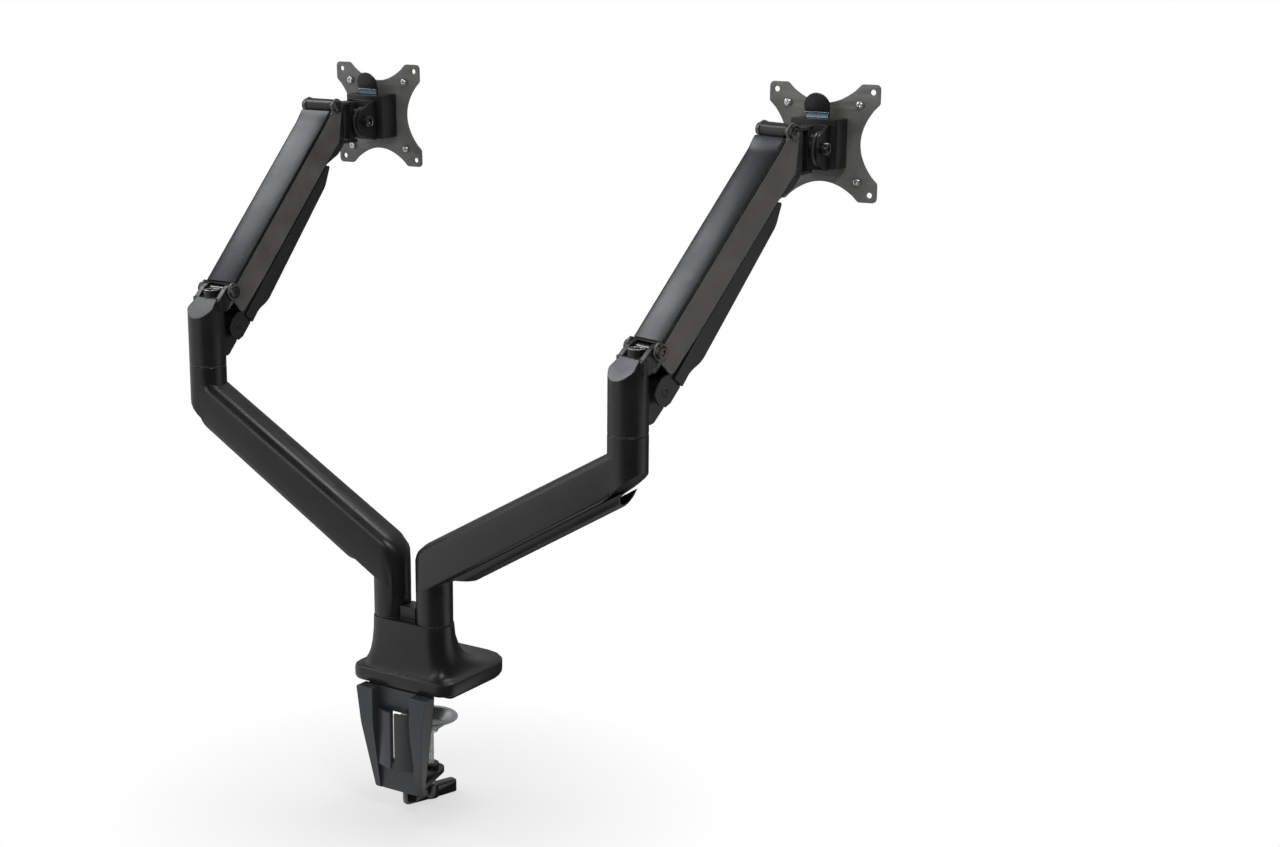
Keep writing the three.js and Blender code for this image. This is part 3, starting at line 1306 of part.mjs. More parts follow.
function elbowParts(arm) {
  const { name } = arm;
  const lowerPin = piece(`${name}_link_lower_pin`, "steel", linkPin());
  lowerPin.position.set(LIFT_FORWARD + LINK_FORWARD, 0, LIFT_Z - LINK_DROP);
  const link = group(LIFT_FORWARD + LINK_FORWARD, 0, LIFT_Z - LINK_DROP,
    piece(`${name}_tie_link`, "coat", tieLink()),
    piece(`${name}_cable_tray`, "plastic", cableTray()),
  );
  link.rotation.y = -radians(arm.lift);
  const elbow = group(LOWER_LENGTH, 0, 0,
    piece(`${name}_elbow_post`, "coat", elbowPost()),
    lowerPin,
    link,
    upperParts(arm),
  );
  elbow.rotation.z = radians(arm.upper - arm.lower);
  return elbow;
}

function armParts(arm) {
  const { name } = arm;
  const bolt = piece(`${name}_elbow_bolt`, "steel", elbowBolt());
  const bore = PIVOT_RADIUS + RUNNING;
  const elbowRing = washer(ELBOW_RADIUS - WASHER_INSET, bore, ELBOW_HEIGHT);
  const elbowWasher = piece(`${name}_elbow_washer`, "plastic", elbowRing);
  bolt.position.x = LOWER_LENGTH;
  elbowWasher.position.x = LOWER_LENGTH;
  const holder = group(arm.side * POST_X, 0, 0,
    piece(`${name}_lower_arm`, "coat", lowerArm()),
    piece(`${name}_cable_channel`, "plastic", lowerCableChannel()),
    piece(`${name}_base_washer`, "plastic", washer(POST_RADIUS - WASHER_INSET, bore, FOOT_HEIGHT)),
    bolt,
    elbowWasher,
    elbowParts(arm),
  );
  holder.rotation.z = radians(arm.lower);
  return holder;
}

function baseParts() {
  const pin = (arm) => {
    const mesh = piece(`${arm.name}_base_pin`, "steel", basePin());
    mesh.position.x = arm.side * POST_X;
    return mesh;
  };
  return group(0, 0, 0,
    piece("base_housing", "coat", baseHousing()),
    piece("base_pad", "rubber", basePad()),
    piece("clamp_bracket", "coat", clampBracket()),
    piece("clamp_cover", "slate", clampCover()),
    piece("clamp_screw", "zinc", clampScrew()),
    piece("clamp_handle", "plastic", clampHandle()),
    piece("clamp_pad", "zinc", clampPad()),
    ...ARMS.map(pin),
  );
}

const monitorArm = new THREE.Group();
monitorArm.add(baseParts(), ...ARMS.map(armParts));

export default monitorArm;
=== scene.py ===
import json
import math

import bmesh
import bpy
from mathutils import Matrix, Vector

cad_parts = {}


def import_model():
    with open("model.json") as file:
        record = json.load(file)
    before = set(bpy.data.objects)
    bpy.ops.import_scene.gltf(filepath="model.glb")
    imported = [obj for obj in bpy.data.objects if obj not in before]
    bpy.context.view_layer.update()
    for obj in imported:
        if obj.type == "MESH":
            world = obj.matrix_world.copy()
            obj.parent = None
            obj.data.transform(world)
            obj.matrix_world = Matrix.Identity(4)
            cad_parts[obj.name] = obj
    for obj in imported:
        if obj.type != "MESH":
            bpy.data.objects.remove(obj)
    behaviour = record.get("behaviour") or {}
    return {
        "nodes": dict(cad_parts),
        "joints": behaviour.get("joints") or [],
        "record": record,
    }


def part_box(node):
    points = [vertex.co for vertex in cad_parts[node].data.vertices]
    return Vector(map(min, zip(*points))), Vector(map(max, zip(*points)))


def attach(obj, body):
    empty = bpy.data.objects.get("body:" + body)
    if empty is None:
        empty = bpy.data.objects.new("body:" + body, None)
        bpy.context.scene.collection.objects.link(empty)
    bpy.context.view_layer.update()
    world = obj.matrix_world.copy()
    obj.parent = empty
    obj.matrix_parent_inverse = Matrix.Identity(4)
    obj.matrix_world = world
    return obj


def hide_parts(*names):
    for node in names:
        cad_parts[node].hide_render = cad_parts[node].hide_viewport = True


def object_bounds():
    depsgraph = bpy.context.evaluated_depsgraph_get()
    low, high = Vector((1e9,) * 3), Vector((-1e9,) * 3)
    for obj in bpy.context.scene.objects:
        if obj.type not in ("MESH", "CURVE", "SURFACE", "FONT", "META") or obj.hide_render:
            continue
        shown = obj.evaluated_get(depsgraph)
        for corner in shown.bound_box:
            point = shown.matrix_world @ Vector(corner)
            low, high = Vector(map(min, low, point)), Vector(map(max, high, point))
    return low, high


MM = 0.001

# ---------- camera ----------
IMAGE_WIDTH = 1280
FOCAL_PIXELS = 2109.26
SENSOR_WIDTH = 36.0
CAMERA_PLACE = (1.28058, -1.60028, 0.74770)
CAMERA_YAW = 0.563733
CAMERA_PITCH = 0.228847
CAMERA_ROLL = 0.009425

# ---------- light ----------
# Each softbox: name, direction, distance, width, height, power, colour.
SOFTBOXES = (
    ("left_high", (-0.69, -0.08, 0.72), 2.04, 0.45, 0.45, 6.0, (0.94, 0.97, 1.0)),
    ("left_low", (-0.90, -0.35, 0.30), 2.0, 0.90, 0.70, 1.5, (0.90, 0.95, 1.0)),
    ("front_strip", (-0.03, -0.84, 0.42), 2.1, 1.60, 0.26, 6.0, (1.0, 1.0, 1.0)),
    ("top", (0.10, 0.35, 1.00), 2.0, 0.80, 0.80, 11.0, (1.0, 0.99, 0.97)),
    ("right_high", (0.62, -0.46, 0.78), 2.0, 0.40, 0.40, 8.0, (1.0, 0.99, 0.97)),
)
# The bright sides of the studio: direction, the cosines at which each fades in and is full, level.
LEFT_PANEL = ((-0.82, -0.57, 0.0), 0.45, 0.72, 0.68)
RIGHT_PANEL = ((0.88, 0.47, 0.0), 0.90, 0.985, 0.80)
BACKDROP = ((-0.53, 0.83, 0.15), 0.20, 0.60, 0.32)
STUDIO_LEVEL = 0.06
# The floor turns to plain white between these two distances from its middle, in metres.
FLOOR_NEAR = 0.05
FLOOR_FAR = 0.32
FLOOR_NEAR_GLOW = 0.62
FLOOR_CLOUD = 3.0
FLOOR_DARKER = (0.86, 0.86, 0.865)
FLOOR_LIGHTER = (0.89, 0.89, 0.895)
FLOOR_ROUGHNESS = 0.9
FLOOR_HALF = 6.0
FLOOR_CELLS = 8
FLOOR_DROP = 0.2 * MM

# ---------- sizes, in millimetres ----------
PLATE_SHEET = 2.5
PLATE_HALF = 57.5
PLATE_WAIST = 38.5
PLATE_LEG = 19.0
PLATE_CORNER = 4.5
PLATE_EDGE = 0.35
PLATE_SIDE_LEAD = 6
PLATE_SIDE_STEPS = 16
SHEET_MERGE = 0.001
HOLE_SQUARES = (75, 100)
HOLE_RADIUS = 2.8
HOLE_STEPS = 32
TONGUE_DEPTH = 11.5
TONGUE_ROOT = 0.5
TONGUE_CORNER = 2
TONGUE_HALF_WIDTH = 16
TONGUE_HALF_HEIGHT = 18

SCREW_SQUARE = 75
SCREW_HEAD_RADIUS = 3.9
SCREW_HEAD_HEIGHT = 2.3
SCREW_SHANK_RADIUS = 2.0
SCREW_SHANK_LENGTH = 5.5
SCREW_PITCH = 0.7
SCREW_THREAD_DEPTH = 0.22
SCREW_TIP = 0.4
SCREW_TIP_EDGE = 0.6
# The pan head's rings above its rim: shares of its radius and of its height.
SCREW_HEAD_RINGS = ((1.0, 0.35), (0.97, 0.6), (0.88, 0.82), (0.74, 0.94), (0.62, 1.0))
CROSS_REACH = 2.3
CROSS_HALF_WIDTH = 0.55
CROSS_DEPTH = 1.3
CROSS_CORE = 1.2
CROSS_THINNEST = 0.02
# The cross recess, from the top down: shares of its reach, of its width and of its depth.
CROSS_LEVELS = ((1.0, 1.0, 0.0), (0.8, 0.8, 0.6), (0.35, 0.7, 1.0))
# How far a seated piece stands off the face that carries it.
SEAT_GAP = 0.02

THREAD_PITCH = 1.5
THREAD_DEPTH = 0.75
THREAD_STEPS = 4
THREAD_TIP = 2

PIN_SHAFT_RADIUS = 4.4
PIN_HEAD_RADIUS = 6.6
PIN_HEAD_HEIGHT = 3.3
PIN_SOCKET_RADIUS = 3.3
PIN_SOCKET_DEPTH = 1.6
PIN_EDGE = 0.7

BOLT_SHAFT_RADIUS = 4.2
BOLT_HEAD_LENGTH = 6.5
BOLT_SOCKET_RADIUS = 3.9
BOLT_SOCKET_DEPTH = 4.0
BOLT_EDGE = 0.8
BOLT_UNDER_EDGE = 0.3
BOLT_TIP_EDGE = 0.8
WASHER_GAP = 0.4
WASHER_EDGE = 0.6

LID_HALF = 20.7
LID_FOOT = 1.2
LID_THICKNESS = 2.8
LID_CROWN = 0.9
LID_CROWN_POWER = 2.5
LID_CROWN_STEPS = 10
LID_EDGE = 1.2
LID_EDGE_SHARE = 0.6
LID_EDGE_TURNS = (0, math.pi / 6, math.pi / 3)
LID_START = 8.5
LID_NOSE = 0.8
LID_STATIONS = (60, 120, 180)
LID_LEAD = 3
LID_RISE_STEPS = 10
LID_BEND = 222.0
LID_RISEN = 239.0
LID_RISE = 2.0
LID_END = 240.0
LID_LIP = 1.5

LATCH_BACK = -16.6
STRIP_SEAT = 0.15
STRIP_HALF = 11.3
STRIP_SHEET = 0.5
STRIP_FOOT = 24.4
STRIP_BEND = 29.0
# The strip from its foot to its lip: how far back, how high, how much wider than its half width.
STRIP_BENDS = (
    (0.0, STRIP_FOOT, 0.0),
    (0.0, STRIP_BEND, 0.0),
    (0.3, STRIP_BEND + 0.7, 0.6),
    (1.0, STRIP_BEND + 1.1, 1.2),
    (2.6, STRIP_BEND + 1.4, 1.2),
)

ADJUSTER_FORWARD = 9.5
ADJUSTER_TOP = 378.6
ADJUSTER_KEY_FLOOR = 374.1
RING_OUTER = 8.4
RING_INNER = 4.9
RING_HEIGHT = 0.45
KEY_OUTER = 4.2
KEY_INNER = 2.5
KEY_HEIGHT = 3.0
TUBE_EDGE = 0.4

PAD_RADIUS = 30.0
PAD_INNER = 24.0
PAD_SHEET = 2.2
PAD_DEPTH = 14.0
PAD_FLOOR_DEPTH = 9.0
PAD_HUB_RADIUS = 9.5
PAD_BORE_RADIUS = 5.3
PAD_BORE_TOP = 9.7
PAD_TABS = 4
PAD_TAB_START = 10.5
PAD_TAB_END = 18.0
PAD_TAB_HALF = 5
PAD_TAB_CORNER = 1
PAD_TAB_EDGE = 0.4
PAD_TAB_HEIGHT = 1.2
PAD_TAB_FOOT = -0.6

ROUND_STEPS = 72

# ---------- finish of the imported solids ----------
MERGE_DISTANCE = 0.01 * MM
SHARP_ANGLE = math.radians(31)

# ---------- every surface and every piece ----------
SPECKLE_DARK = (0.75, 0.75, 0.75)
SPECKLE_LIGHT = (1.25, 1.25, 1.25)
COAT_ROUGHNESS = 0.12
EDGE_TURNED = 0.80
EDGE_FLAT = 0.995
EDGE_SAMPLES = 6
PIECE_SHARP_ANGLE = math.radians(35)
# The places of a colour mix node's sockets.
MIX_FACTOR = 0
MIX_FIRST = 6
MIX_SECOND = 7
MIX_RESULT = 2

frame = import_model()
CAD_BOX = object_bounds()
NODES = frame["nodes"]
RECORD = frame["record"]
SIDES = ("left", "right")


# ---------- materials ----------

class Nodes:
    """A material's node tree, with short calls to add and join nodes."""

    def __init__(self, name):
        self.material = bpy.data.materials.new(name)
        self.material.use_nodes = True
        self.tree = self.material.node_tree
        self.shader = self.tree.nodes["Principled BSDF"]

    @classmethod
    def of(cls, tree):
        """The same calls for a node tree that is there already."""
        nodes = cls.__new__(cls)
        nodes.tree = tree
        return nodes

    def add(self, kind, **values):
        node = self.tree.nodes.new(kind)
        for name, value in values.items():
            setattr(node, name, value)
        return node

    def join(self, source, target):
        self.tree.links.new(source, target)

    def noise(self, place, scale, detail=3.0, roughness=0.55):
        node = self.add("ShaderNodeTexNoise")
        node.inputs["Scale"].default_value = scale
        node.inputs["Detail"].default_value = detail
        node.inputs["Roughness"].default_value = roughness
        self.join(place, node.inputs["Vector"])
        return node.outputs["Fac"]

    def ramp(self, factor, low, high, start=0.3, end=0.7):
        node = self.add("ShaderNodeValToRGB")
        first, last = node.color_ramp.elements
        first.position, first.color = start, (*low, 1)
        last.position, last.color = end, (*high, 1)
        self.join(factor, node.inputs["Fac"])
        return node.outputs["Color"]

    def range(self, factor, low, high, start=0.3, end=0.7):
        node = self.add("ShaderNodeMapRange")
        node.inputs["From Min"].default_value = start
        node.inputs["From Max"].default_value = end
        node.inputs["To Min"].default_value = low
        node.inputs["To Max"].default_value = high
        self.join(factor, node.inputs["Value"])
        return node.outputs["Result"]

    def bump(self, height, strength, distance, normal=None):
        node = self.add("ShaderNodeBump")
        node.inputs["Strength"].default_value = strength
        node.inputs["Distance"].default_value = distance
        self.join(height, node.inputs["Height"])
        if normal is not None:
            self.join(normal, node.inputs["Normal"])
        return node.outputs["Normal"]

    def edges(self, radius):
        """Where the surface turns sharply: 0 on a flat, rising to 1 along an edge."""
        bevel = self.add("ShaderNodeBevel", samples=EDGE_SAMPLES)
        bevel.inputs["Radius"].default_value = radius
        geometry = self.add("ShaderNodeNewGeometry")
        dot = self.add("ShaderNodeVectorMath", operation="DOT_PRODUCT")
        self.join(bevel.outputs["Normal"], dot.inputs[0])
        self.join(geometry.outputs["Normal"], dot.inputs[1])
        turned = self.range(dot.outputs["Value"], 1.0, 0.0, EDGE_TURNED, EDGE_FLAT)
        return turned, bevel.outputs["Normal"]


def shade(colour, factor):
    return tuple(c * factor for c in colour)


def finish(
    name,
    colour,
    roughness,
    metallic=0.0,
    *,
    spread=0.25,
    patch=28.0,
    mottle=0.5,
    grain=1500.0,
    stretch=(1, 1, 1),
    depth=0.05,
    strength=0.25,
    rough_spread=0.05,
    edge_highlight_gain=1.6,
    edge_radius=0.7,
    coat=0.0,
    shine=0.5,
):
    """A surface with patchy colour, fine grain, uneven gloss and a painted highlight along its
    edges.
    """
    n = Nodes(name)
    place = n.add("ShaderNodeTexCoord").outputs["Object"]
    mapping = n.add("ShaderNodeMapping")
    mapping.inputs["Scale"].default_value = stretch
    n.join(place, mapping.inputs["Vector"])
    patches = n.noise(place, patch)
    fine = n.noise(mapping.outputs["Vector"], grain, 2.0, 0.6)
    base = n.ramp(patches, shade(colour, 1 - spread), shade(colour, 1 + spread))
    edge, rounded_normal = n.edges(edge_radius * MM)
    speckle = n.add("ShaderNodeMix", data_type="RGBA", blend_type="MULTIPLY")
    speckle.inputs[MIX_FACTOR].default_value = mottle
    n.join(base, speckle.inputs[MIX_FIRST])
    n.join(n.ramp(fine, SPECKLE_DARK, SPECKLE_LIGHT), speckle.inputs[MIX_SECOND])
    # Lighter along the edges: a painted highlight where the edges would catch the light.
    painted_edge_highlight = n.add("ShaderNodeMix", data_type="RGBA")
    painted_edge_highlight.inputs[MIX_SECOND].default_value = (*shade(colour, edge_highlight_gain), 1)
    n.join(edge, painted_edge_highlight.inputs[MIX_FACTOR])
    n.join(speckle.outputs[MIX_RESULT], painted_edge_highlight.inputs[MIX_FIRST])
    n.join(painted_edge_highlight.outputs[MIX_RESULT], n.shader.inputs["Base Color"])
    gloss = n.range(patches, roughness - rough_spread, roughness + rough_spread)
    n.join(gloss, n.shader.inputs["Roughness"])
    n.join(n.bump(fine, strength, depth * MM, rounded_normal), n.shader.inputs["Normal"])
    n.shader.inputs["Metallic"].default_value = metallic
    n.shader.inputs["Specular IOR Level"].default_value = shine
    n.shader.inputs["Coat Weight"].default_value = coat
    n.shader.inputs["Coat Roughness"].default_value = COAT_ROUGHNESS
    return n.material


# The gain for the edges paints each finish lighter along its edges: a painted highlight.
FINISHES = {
    "black_coat": dict(
        colour=(0.0125, 0.0120, 0.0115), roughness=0.33, depth=0.03, strength=0.14,
        edge_radius=1.6,
    ),
    "satin_coat": dict(
        colour=(0.0085, 0.0090, 0.0105), roughness=0.25, grain=2400.0, depth=0.01, strength=0.05,
        rough_spread=0.03, shine=0.20,
    ),
    "shell_coat": dict(
        colour=(0.115, 0.1120, 0.108), roughness=0.36, depth=0.03, strength=0.14, edge_radius=1.0,
    ),
    "plate_coat": dict(
        colour=(0.165, 0.1630, 0.158), roughness=0.38, grain=1700.0, depth=0.04, strength=0.18,
        edge_radius=0.5,
    ),
    "black_steel": dict(
        colour=(0.018, 0.0175, 0.017), roughness=0.24, metallic=0.4, grain=3000.0, depth=0.015,
        strength=0.15, edge_highlight_gain=3.0,
    ),
    "bright_black": dict(
        colour=(0.075, 0.073, 0.070), roughness=0.18, metallic=0.8, grain=3000.0, depth=0.01,
        strength=0.1, edge_highlight_gain=4.0,
    ),
    "black_plastic": dict(
        colour=(0.016, 0.0162, 0.0160), roughness=0.38, grain=900.0, depth=0.06, strength=0.3,
    ),
    "gloss_plastic": dict(
        colour=(0.006, 0.006, 0.0062), roughness=0.16, grain=3000.0, depth=0.01, strength=0.1,
        coat=0.4,
    ),
    "washer_plastic": dict(
        colour=(0.065, 0.063, 0.060), roughness=0.28, grain=1800.0, edge_highlight_gain=3.0,
    ),
    "grey_plastic": dict(
        colour=(0.046, 0.049, 0.053), roughness=0.37, grain=1100.0, depth=0.05, strength=0.3,
        spread=0.12, edge_highlight_gain=1.7, edge_radius=0.9,
    ),
    "rubber": dict(
        colour=(0.010, 0.010, 0.010), roughness=0.8, grain=600.0, depth=0.12, strength=0.5,
    ),
    "zinc": dict(
        colour=(0.80, 0.84, 0.84), roughness=0.30, metallic=0.75, spread=0.04, patch=60.0,
        grain=1600.0, depth=0.010, strength=0.06, edge_highlight_gain=1.2, rough_spread=0.06, mottle=0.15,
    ),
    "screw_steel": dict(
        colour=(0.66, 0.67, 0.68), roughness=0.24, metallic=0.95, spread=0.08, patch=400.0,
        grain=2500.0, depth=0.01, strength=0.15, edge_highlight_gain=1.2, mottle=0.2,
    ),
    "strip_steel": dict(
        colour=(0.42, 0.55, 0.70), roughness=0.24, metallic=0.9, spread=0.10, patch=120.0,
        grain=900.0, depth=0.012, strength=0.15, stretch=(5, 1, 1), edge_highlight_gain=1.4, mottle=0.2,
    ),
    "brass": dict(
        colour=(0.62, 0.47, 0.22), roughness=0.25, metallic=0.95, spread=0.10, patch=300.0,
        grain=2000.0, depth=0.01, strength=0.15, edge_highlight_gain=1.3, mottle=0.2,
    ),
}
MATERIALS = {name: finish(name, **values) for name, values in FINISHES.items()}
RIDES = {node: body for body, nodes in RECORD["behaviour"]["bodies"].items() for node in nodes}


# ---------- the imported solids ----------

def smoothing_nodes():
    """Joins each solid's facets and smooths every edge but its real ones."""
    tree = bpy.data.node_groups.new("smooth_facets", "GeometryNodeTree")
    tree.interface.new_socket("Geometry", in_out="INPUT", socket_type="NodeSocketGeometry")
    tree.interface.new_socket("Geometry", in_out="OUTPUT", socket_type="NodeSocketGeometry")
    add = tree.nodes.new
    start, end = add("NodeGroupInput"), add("NodeGroupOutput")
    merge = add("GeometryNodeMergeByDistance")
    merge.inputs["Distance"].default_value = MERGE_DISTANCE
    angle = add("GeometryNodeInputMeshEdgeAngle")
    compare = add("FunctionNodeCompare")
    compare.data_type = "FLOAT"
    compare.operation = "LESS_THAN"
    compare.inputs["B"].default_value = SHARP_ANGLE
    faces = add("GeometryNodeSetShadeSmooth")
    edges = add("GeometryNodeSetShadeSmooth")
    edges.domain = "EDGE"
    link = tree.links.new
    link(start.outputs[0], merge.inputs["Geometry"])
    link(merge.outputs["Geometry"], faces.inputs["Geometry"])
    link(faces.outputs["Geometry"], edges.inputs["Geometry"])
    link(angle.outputs["Unsigned Angle"], compare.inputs["A"])
    link(compare.outputs["Result"], edges.inputs["Shade Smooth"])
    link(edges.outputs["Geometry"], end.inputs[0])
    return tree


def dress_solids():
    tree = smoothing_nodes()
    slots = {part["node"]: part["material_slot"] for part in RECORD["subparts"]}
    for name, node in NODES.items():
        mesh = node.data
        if "custom_normal" in mesh.attributes:
            mesh.attributes.remove(mesh.attributes["custom_normal"])
        mesh.materials.clear()
        mesh.materials.append(MATERIALS["shell_coat" if "upper_shell" in name else slots[name]])
        node.modifiers.new("facets", "NODES").node_group = tree


# ---------- places ----------

def joint(name):
    return next(j for j in frame["joints"] if j["name"] == name)


def place_of(name):
    return Vector(joint(name)["pos_m"])


def axes(origin, forward, left):
    """A place in millimetres: X along forward, Y to the left, Z up, from an origin in metres."""
    forward = forward.normalized()
    left = (left - forward * left.dot(forward)).normalized()
    turned = Matrix((forward, left, forward.cross(left))).transposed().to_4x4()
    return Matrix.Translation(origin) @ turned @ Matrix.Scale(MM, 4)


def left_of(side, name):
    return -Vector(joint(f"{side}_{name}")["axis"])


def arm_place(side):
    """From the lift pin along the upper arm."""
    pin = place_of(f"{side}_lift")
    return axes(pin, place_of(f"{side}_head_level") - pin, left_of(side, "lift"))


def elbow_place(side):
    """From the floor under the elbow's axis, towards the lift pin."""
    centre = place_of(f"{side}_elbow_swivel")
    forward = place_of(f"{side}_lift") - centre
    forward.z = 0
    return axes(Vector((centre.x, centre.y, 0)), forward, left_of(side, "lift"))


def facing(side):
    return next(m for m in RECORD["mounts"] if m["name"] == f"{side}_monitor_face")


def tilt_place(side):
    """From the tilt axis, towards the monitor."""
    out = Vector(facing(side)["axis"])
    return axes(place_of(f"{side}_head_tilt"), out, left_of(side, "head_tilt"))


def plate_place(side):
    """From the middle of the plate's rear face, towards the monitor."""
    out = Vector(facing(side)["axis"])
    origin = Vector(facing(side)["pos_m"]) - out * PLATE_SHEET * MM
    return axes(origin, out, left_of(side, "head_tilt"))


def span(node, place):
    """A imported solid's lowest and highest corner, measured along a place's own axes."""
    back = place.inverted()
    points = [back @ v.co for v in NODES[node].data.vertices]
    low = Vector(min(p[i] for p in points) for i in range(3))
    high = Vector(max(p[i] for p in points) for i in range(3))
    return low, high


# ---------- mesh code ----------

def new_piece(name, build, place, finish_slot, body, material=None, stands_for=()):
    mesh = bpy.data.meshes.new(name)
    shape = bmesh.new()
    build(shape)
    bmesh.ops.transform(shape, matrix=place, verts=shape.verts)
    bmesh.ops.recalc_face_normals(shape, faces=shape.faces)
    shape.to_mesh(mesh)
    shape.free()
    mesh.materials.append(material or MATERIALS[finish_slot])
    mesh.shade_smooth()
    mesh.set_sharp_from_angle(angle=PIECE_SHARP_ANGLE)
    piece = bpy.data.objects.new(name, mesh)
    bpy.context.scene.collection.objects.link(piece)
    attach(piece, body)
    if stands_for:
        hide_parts(*stands_for)
    return piece


def skin(shape, rings, looped=False):
    """Joins rings of points into a closed skin, capped at both ends unless it is looped."""
    loops = [[shape.verts.new(p) for p in level] for level in rings]
    count = len(loops[0])
    pairs = list(zip(loops, loops[1:]))
    if looped:
        pairs.append((loops[-1], loops[0]))
    for low, high in pairs:
        for i in range(count):
            j = (i + 1) % count
            shape.faces.new((low[i], low[j], high[j], high[i]))
    if not looped:
        shape.faces.new(loops[0][::-1])
        shape.faces.new(loops[-1])


def ring(radius, height, flats=0):
    """A ring round Z: a circle, or a polygon with that many flats."""
    points = []
    for i in range(ROUND_STEPS):
        a = 2 * math.pi * i / ROUND_STEPS
        r = radius
        if flats:
            sector = 2 * math.pi / flats
            r = radius * math.cos(sector / 2) / math.cos(a % sector - sector / 2)
        points.append(Vector((r * math.cos(a), r * math.sin(a), height)))
    return points


def along_y(x=0, z=0):
    """Turns a shape made round Z to lie along Y."""
    return Matrix.Translation((x, 0, z)) @ Matrix.Rotation(-math.pi / 2, 4, "X")


def along_x(y=0, z=0):
    """Turns a shape made round Z to point along -X."""
    return Matrix.Translation((0, y, z)) @ Matrix.Rotation(-math.pi / 2, 4, "Y")


# ---------- fasteners ----------

def socket_head(radius, face, inward, edge, key, depth):
    """The rings of a socket head, from the bottom of its key hole out to its rim."""
    return [
        ring(key, face + inward * depth, 6),
        ring(key, face + inward * edge * 0.5, 6),
        ring(key + edge * 0.5, face, 6),
        ring(radius - edge, face),
        ring(radius - edge * 0.3, face + inward * edge * 0.3),
        ring(radius, face + inward * edge),
    ]


def headed_pin(side, node, x):
    place = arm_place(side)
    low, high = span(f"{side}_{node}", place)
    face = (high.y - low.y) / 2
    radius = (high.z - low.z) / 2
    under = face - PIN_HEAD_HEIGHT

    def build(shape):
        head = socket_head(radius, -face, 1, PIN_EDGE, PIN_SOCKET_RADIUS, PIN_SOCKET_DEPTH)
        shaft = [
            ring(radius, -under), ring(PIN_SHAFT_RADIUS, -under),
            ring(PIN_SHAFT_RADIUS, under), ring(radius, under),
        ]
        tail = socket_head(radius, face, -1, PIN_EDGE, PIN_SOCKET_RADIUS, PIN_SOCKET_DEPTH)
        skin(shape, head + shaft + tail[::-1])

    new_piece(
        f"{side}_{node}_turned", build, place @ along_y(x), "black_steel", f"{side}_upper",
        MATERIALS["bright_black"], [f"{side}_{node}"],
    )


def tilt_bolt(side):
    place = tilt_place(side)
    low, high = span(f"{side}_tilt_bolt", place)
    radius = (high.z - low.z) / 2
    under = low.y + BOLT_HEAD_LENGTH

    def build(shape):
        head = socket_head(radius, low.y, 1, BOLT_EDGE, BOLT_SOCKET_RADIUS, BOLT_SOCKET_DEPTH)
        shaft = [
            ring(radius, under - BOLT_UNDER_EDGE),
            ring(radius - BOLT_UNDER_EDGE, under),
            ring(BOLT_SHAFT_RADIUS, under),
            ring(BOLT_SHAFT_RADIUS, high.y - BOLT_TIP_EDGE),
            ring(BOLT_SHAFT_RADIUS - BOLT_TIP_EDGE, high.y),
        ]
        skin(shape, head + shaft)

    body = RIDES[f"{side}_tilt_bolt"]
    new_piece(
        f"{side}_tilt_bolt_turned", build, place @ along_y(), "gloss_plastic", body,
        MATERIALS["bright_black"], [f"{side}_tilt_bolt"],
    )


def tilt_washer(side):
    place = tilt_place(side)
    low, high = span(f"{side}_tilt_washer", place)
    radius = (high.z - low.z) / 2
    inner = BOLT_SHAFT_RADIUS + WASHER_GAP
    edge = WASHER_EDGE

    def build(shape):
        rings = [
            ring(inner, low.y),
            ring(radius - edge, low.y),
            ring(radius - edge * 0.3, low.y + edge * 0.3),
            ring(radius, low.y + edge),
            ring(radius, high.y - edge),
            ring(radius - edge * 0.3, high.y - edge * 0.3),
            ring(radius - edge, high.y),
            ring(inner, high.y),
        ]
        skin(shape, rings, looped=True)

    body = RIDES[f"{side}_tilt_washer"]
    new_piece(
        f"{side}_tilt_washer_turned", build, place @ along_y(), "washer_plastic", body,
        stands_for=[f"{side}_tilt_washer"],
    )


def cross_ring(reach, width, height):
    """One level of a cross recess: four arms of that reach and half width."""
    points = []
    for i in range(ROUND_STEPS):
        a = 2 * math.pi * (i + 0.5) / ROUND_STEPS
        c, s = abs(math.cos(a)), abs(math.sin(a))
        arm = min(reach / max(c, s), width / max(min(c, s), CROSS_THINNEST))
        r = max(arm, width * CROSS_CORE)
        points.append(Vector((r * math.cos(a), r * math.sin(a), height)))
    return points


def pan_screw(shape):
    """A pan head with a cross recess, head up, on a threaded shank."""
    turns = 2 * int(SCREW_SHANK_LENGTH / SCREW_PITCH)
    rings = [ring(SCREW_SHANK_RADIUS - SCREW_TIP_EDGE, -SCREW_SHANK_LENGTH - SCREW_TIP)]
    for i in range(turns + 1):
        dip = SCREW_THREAD_DEPTH if i % 2 else 0.0
        rings.append(ring(SCREW_SHANK_RADIUS - dip, -SCREW_SHANK_LENGTH * (1 - i / turns)))
    rings.append(ring(SCREW_HEAD_RADIUS, 0.0))
    for share, rise in SCREW_HEAD_RINGS:
        rings.append(ring(SCREW_HEAD_RADIUS * share, SCREW_HEAD_HEIGHT * rise))
    for reach, width, sunk in CROSS_LEVELS:
        height = SCREW_HEAD_HEIGHT - CROSS_DEPTH * sunk
        rings.append(cross_ring(CROSS_REACH * reach, CROSS_HALF_WIDTH * width, height))
    skin(shape, rings)


def plate_screws(side):
    half = SCREW_SQUARE / 2
    for row, z in (("low", -half), ("high", half)):
        for column, y in (("a", -half), ("b", half)):
            place = plate_place(side) @ Matrix.Translation((-SEAT_GAP, 0, 0)) @ along_x(y, z)
            name = f"{side}_plate_screw_{row}_{column}"
            new_piece(name, pan_screw, place, "zinc", f"{side}_plate", MATERIALS["screw_steel"])


def thread_level(radius, height):
    """One level ring of a threaded bar."""
    level = []
    for point in ring(1, 0):
        turn = math.atan2(point.y, point.x) / (2 * math.pi)
        phase = (height / THREAD_PITCH - turn) % 1.0
        r = radius - THREAD_DEPTH * abs(2 * phase - 1)
        level.append(Vector((point.x * r, point.y * r, height)))
    return level


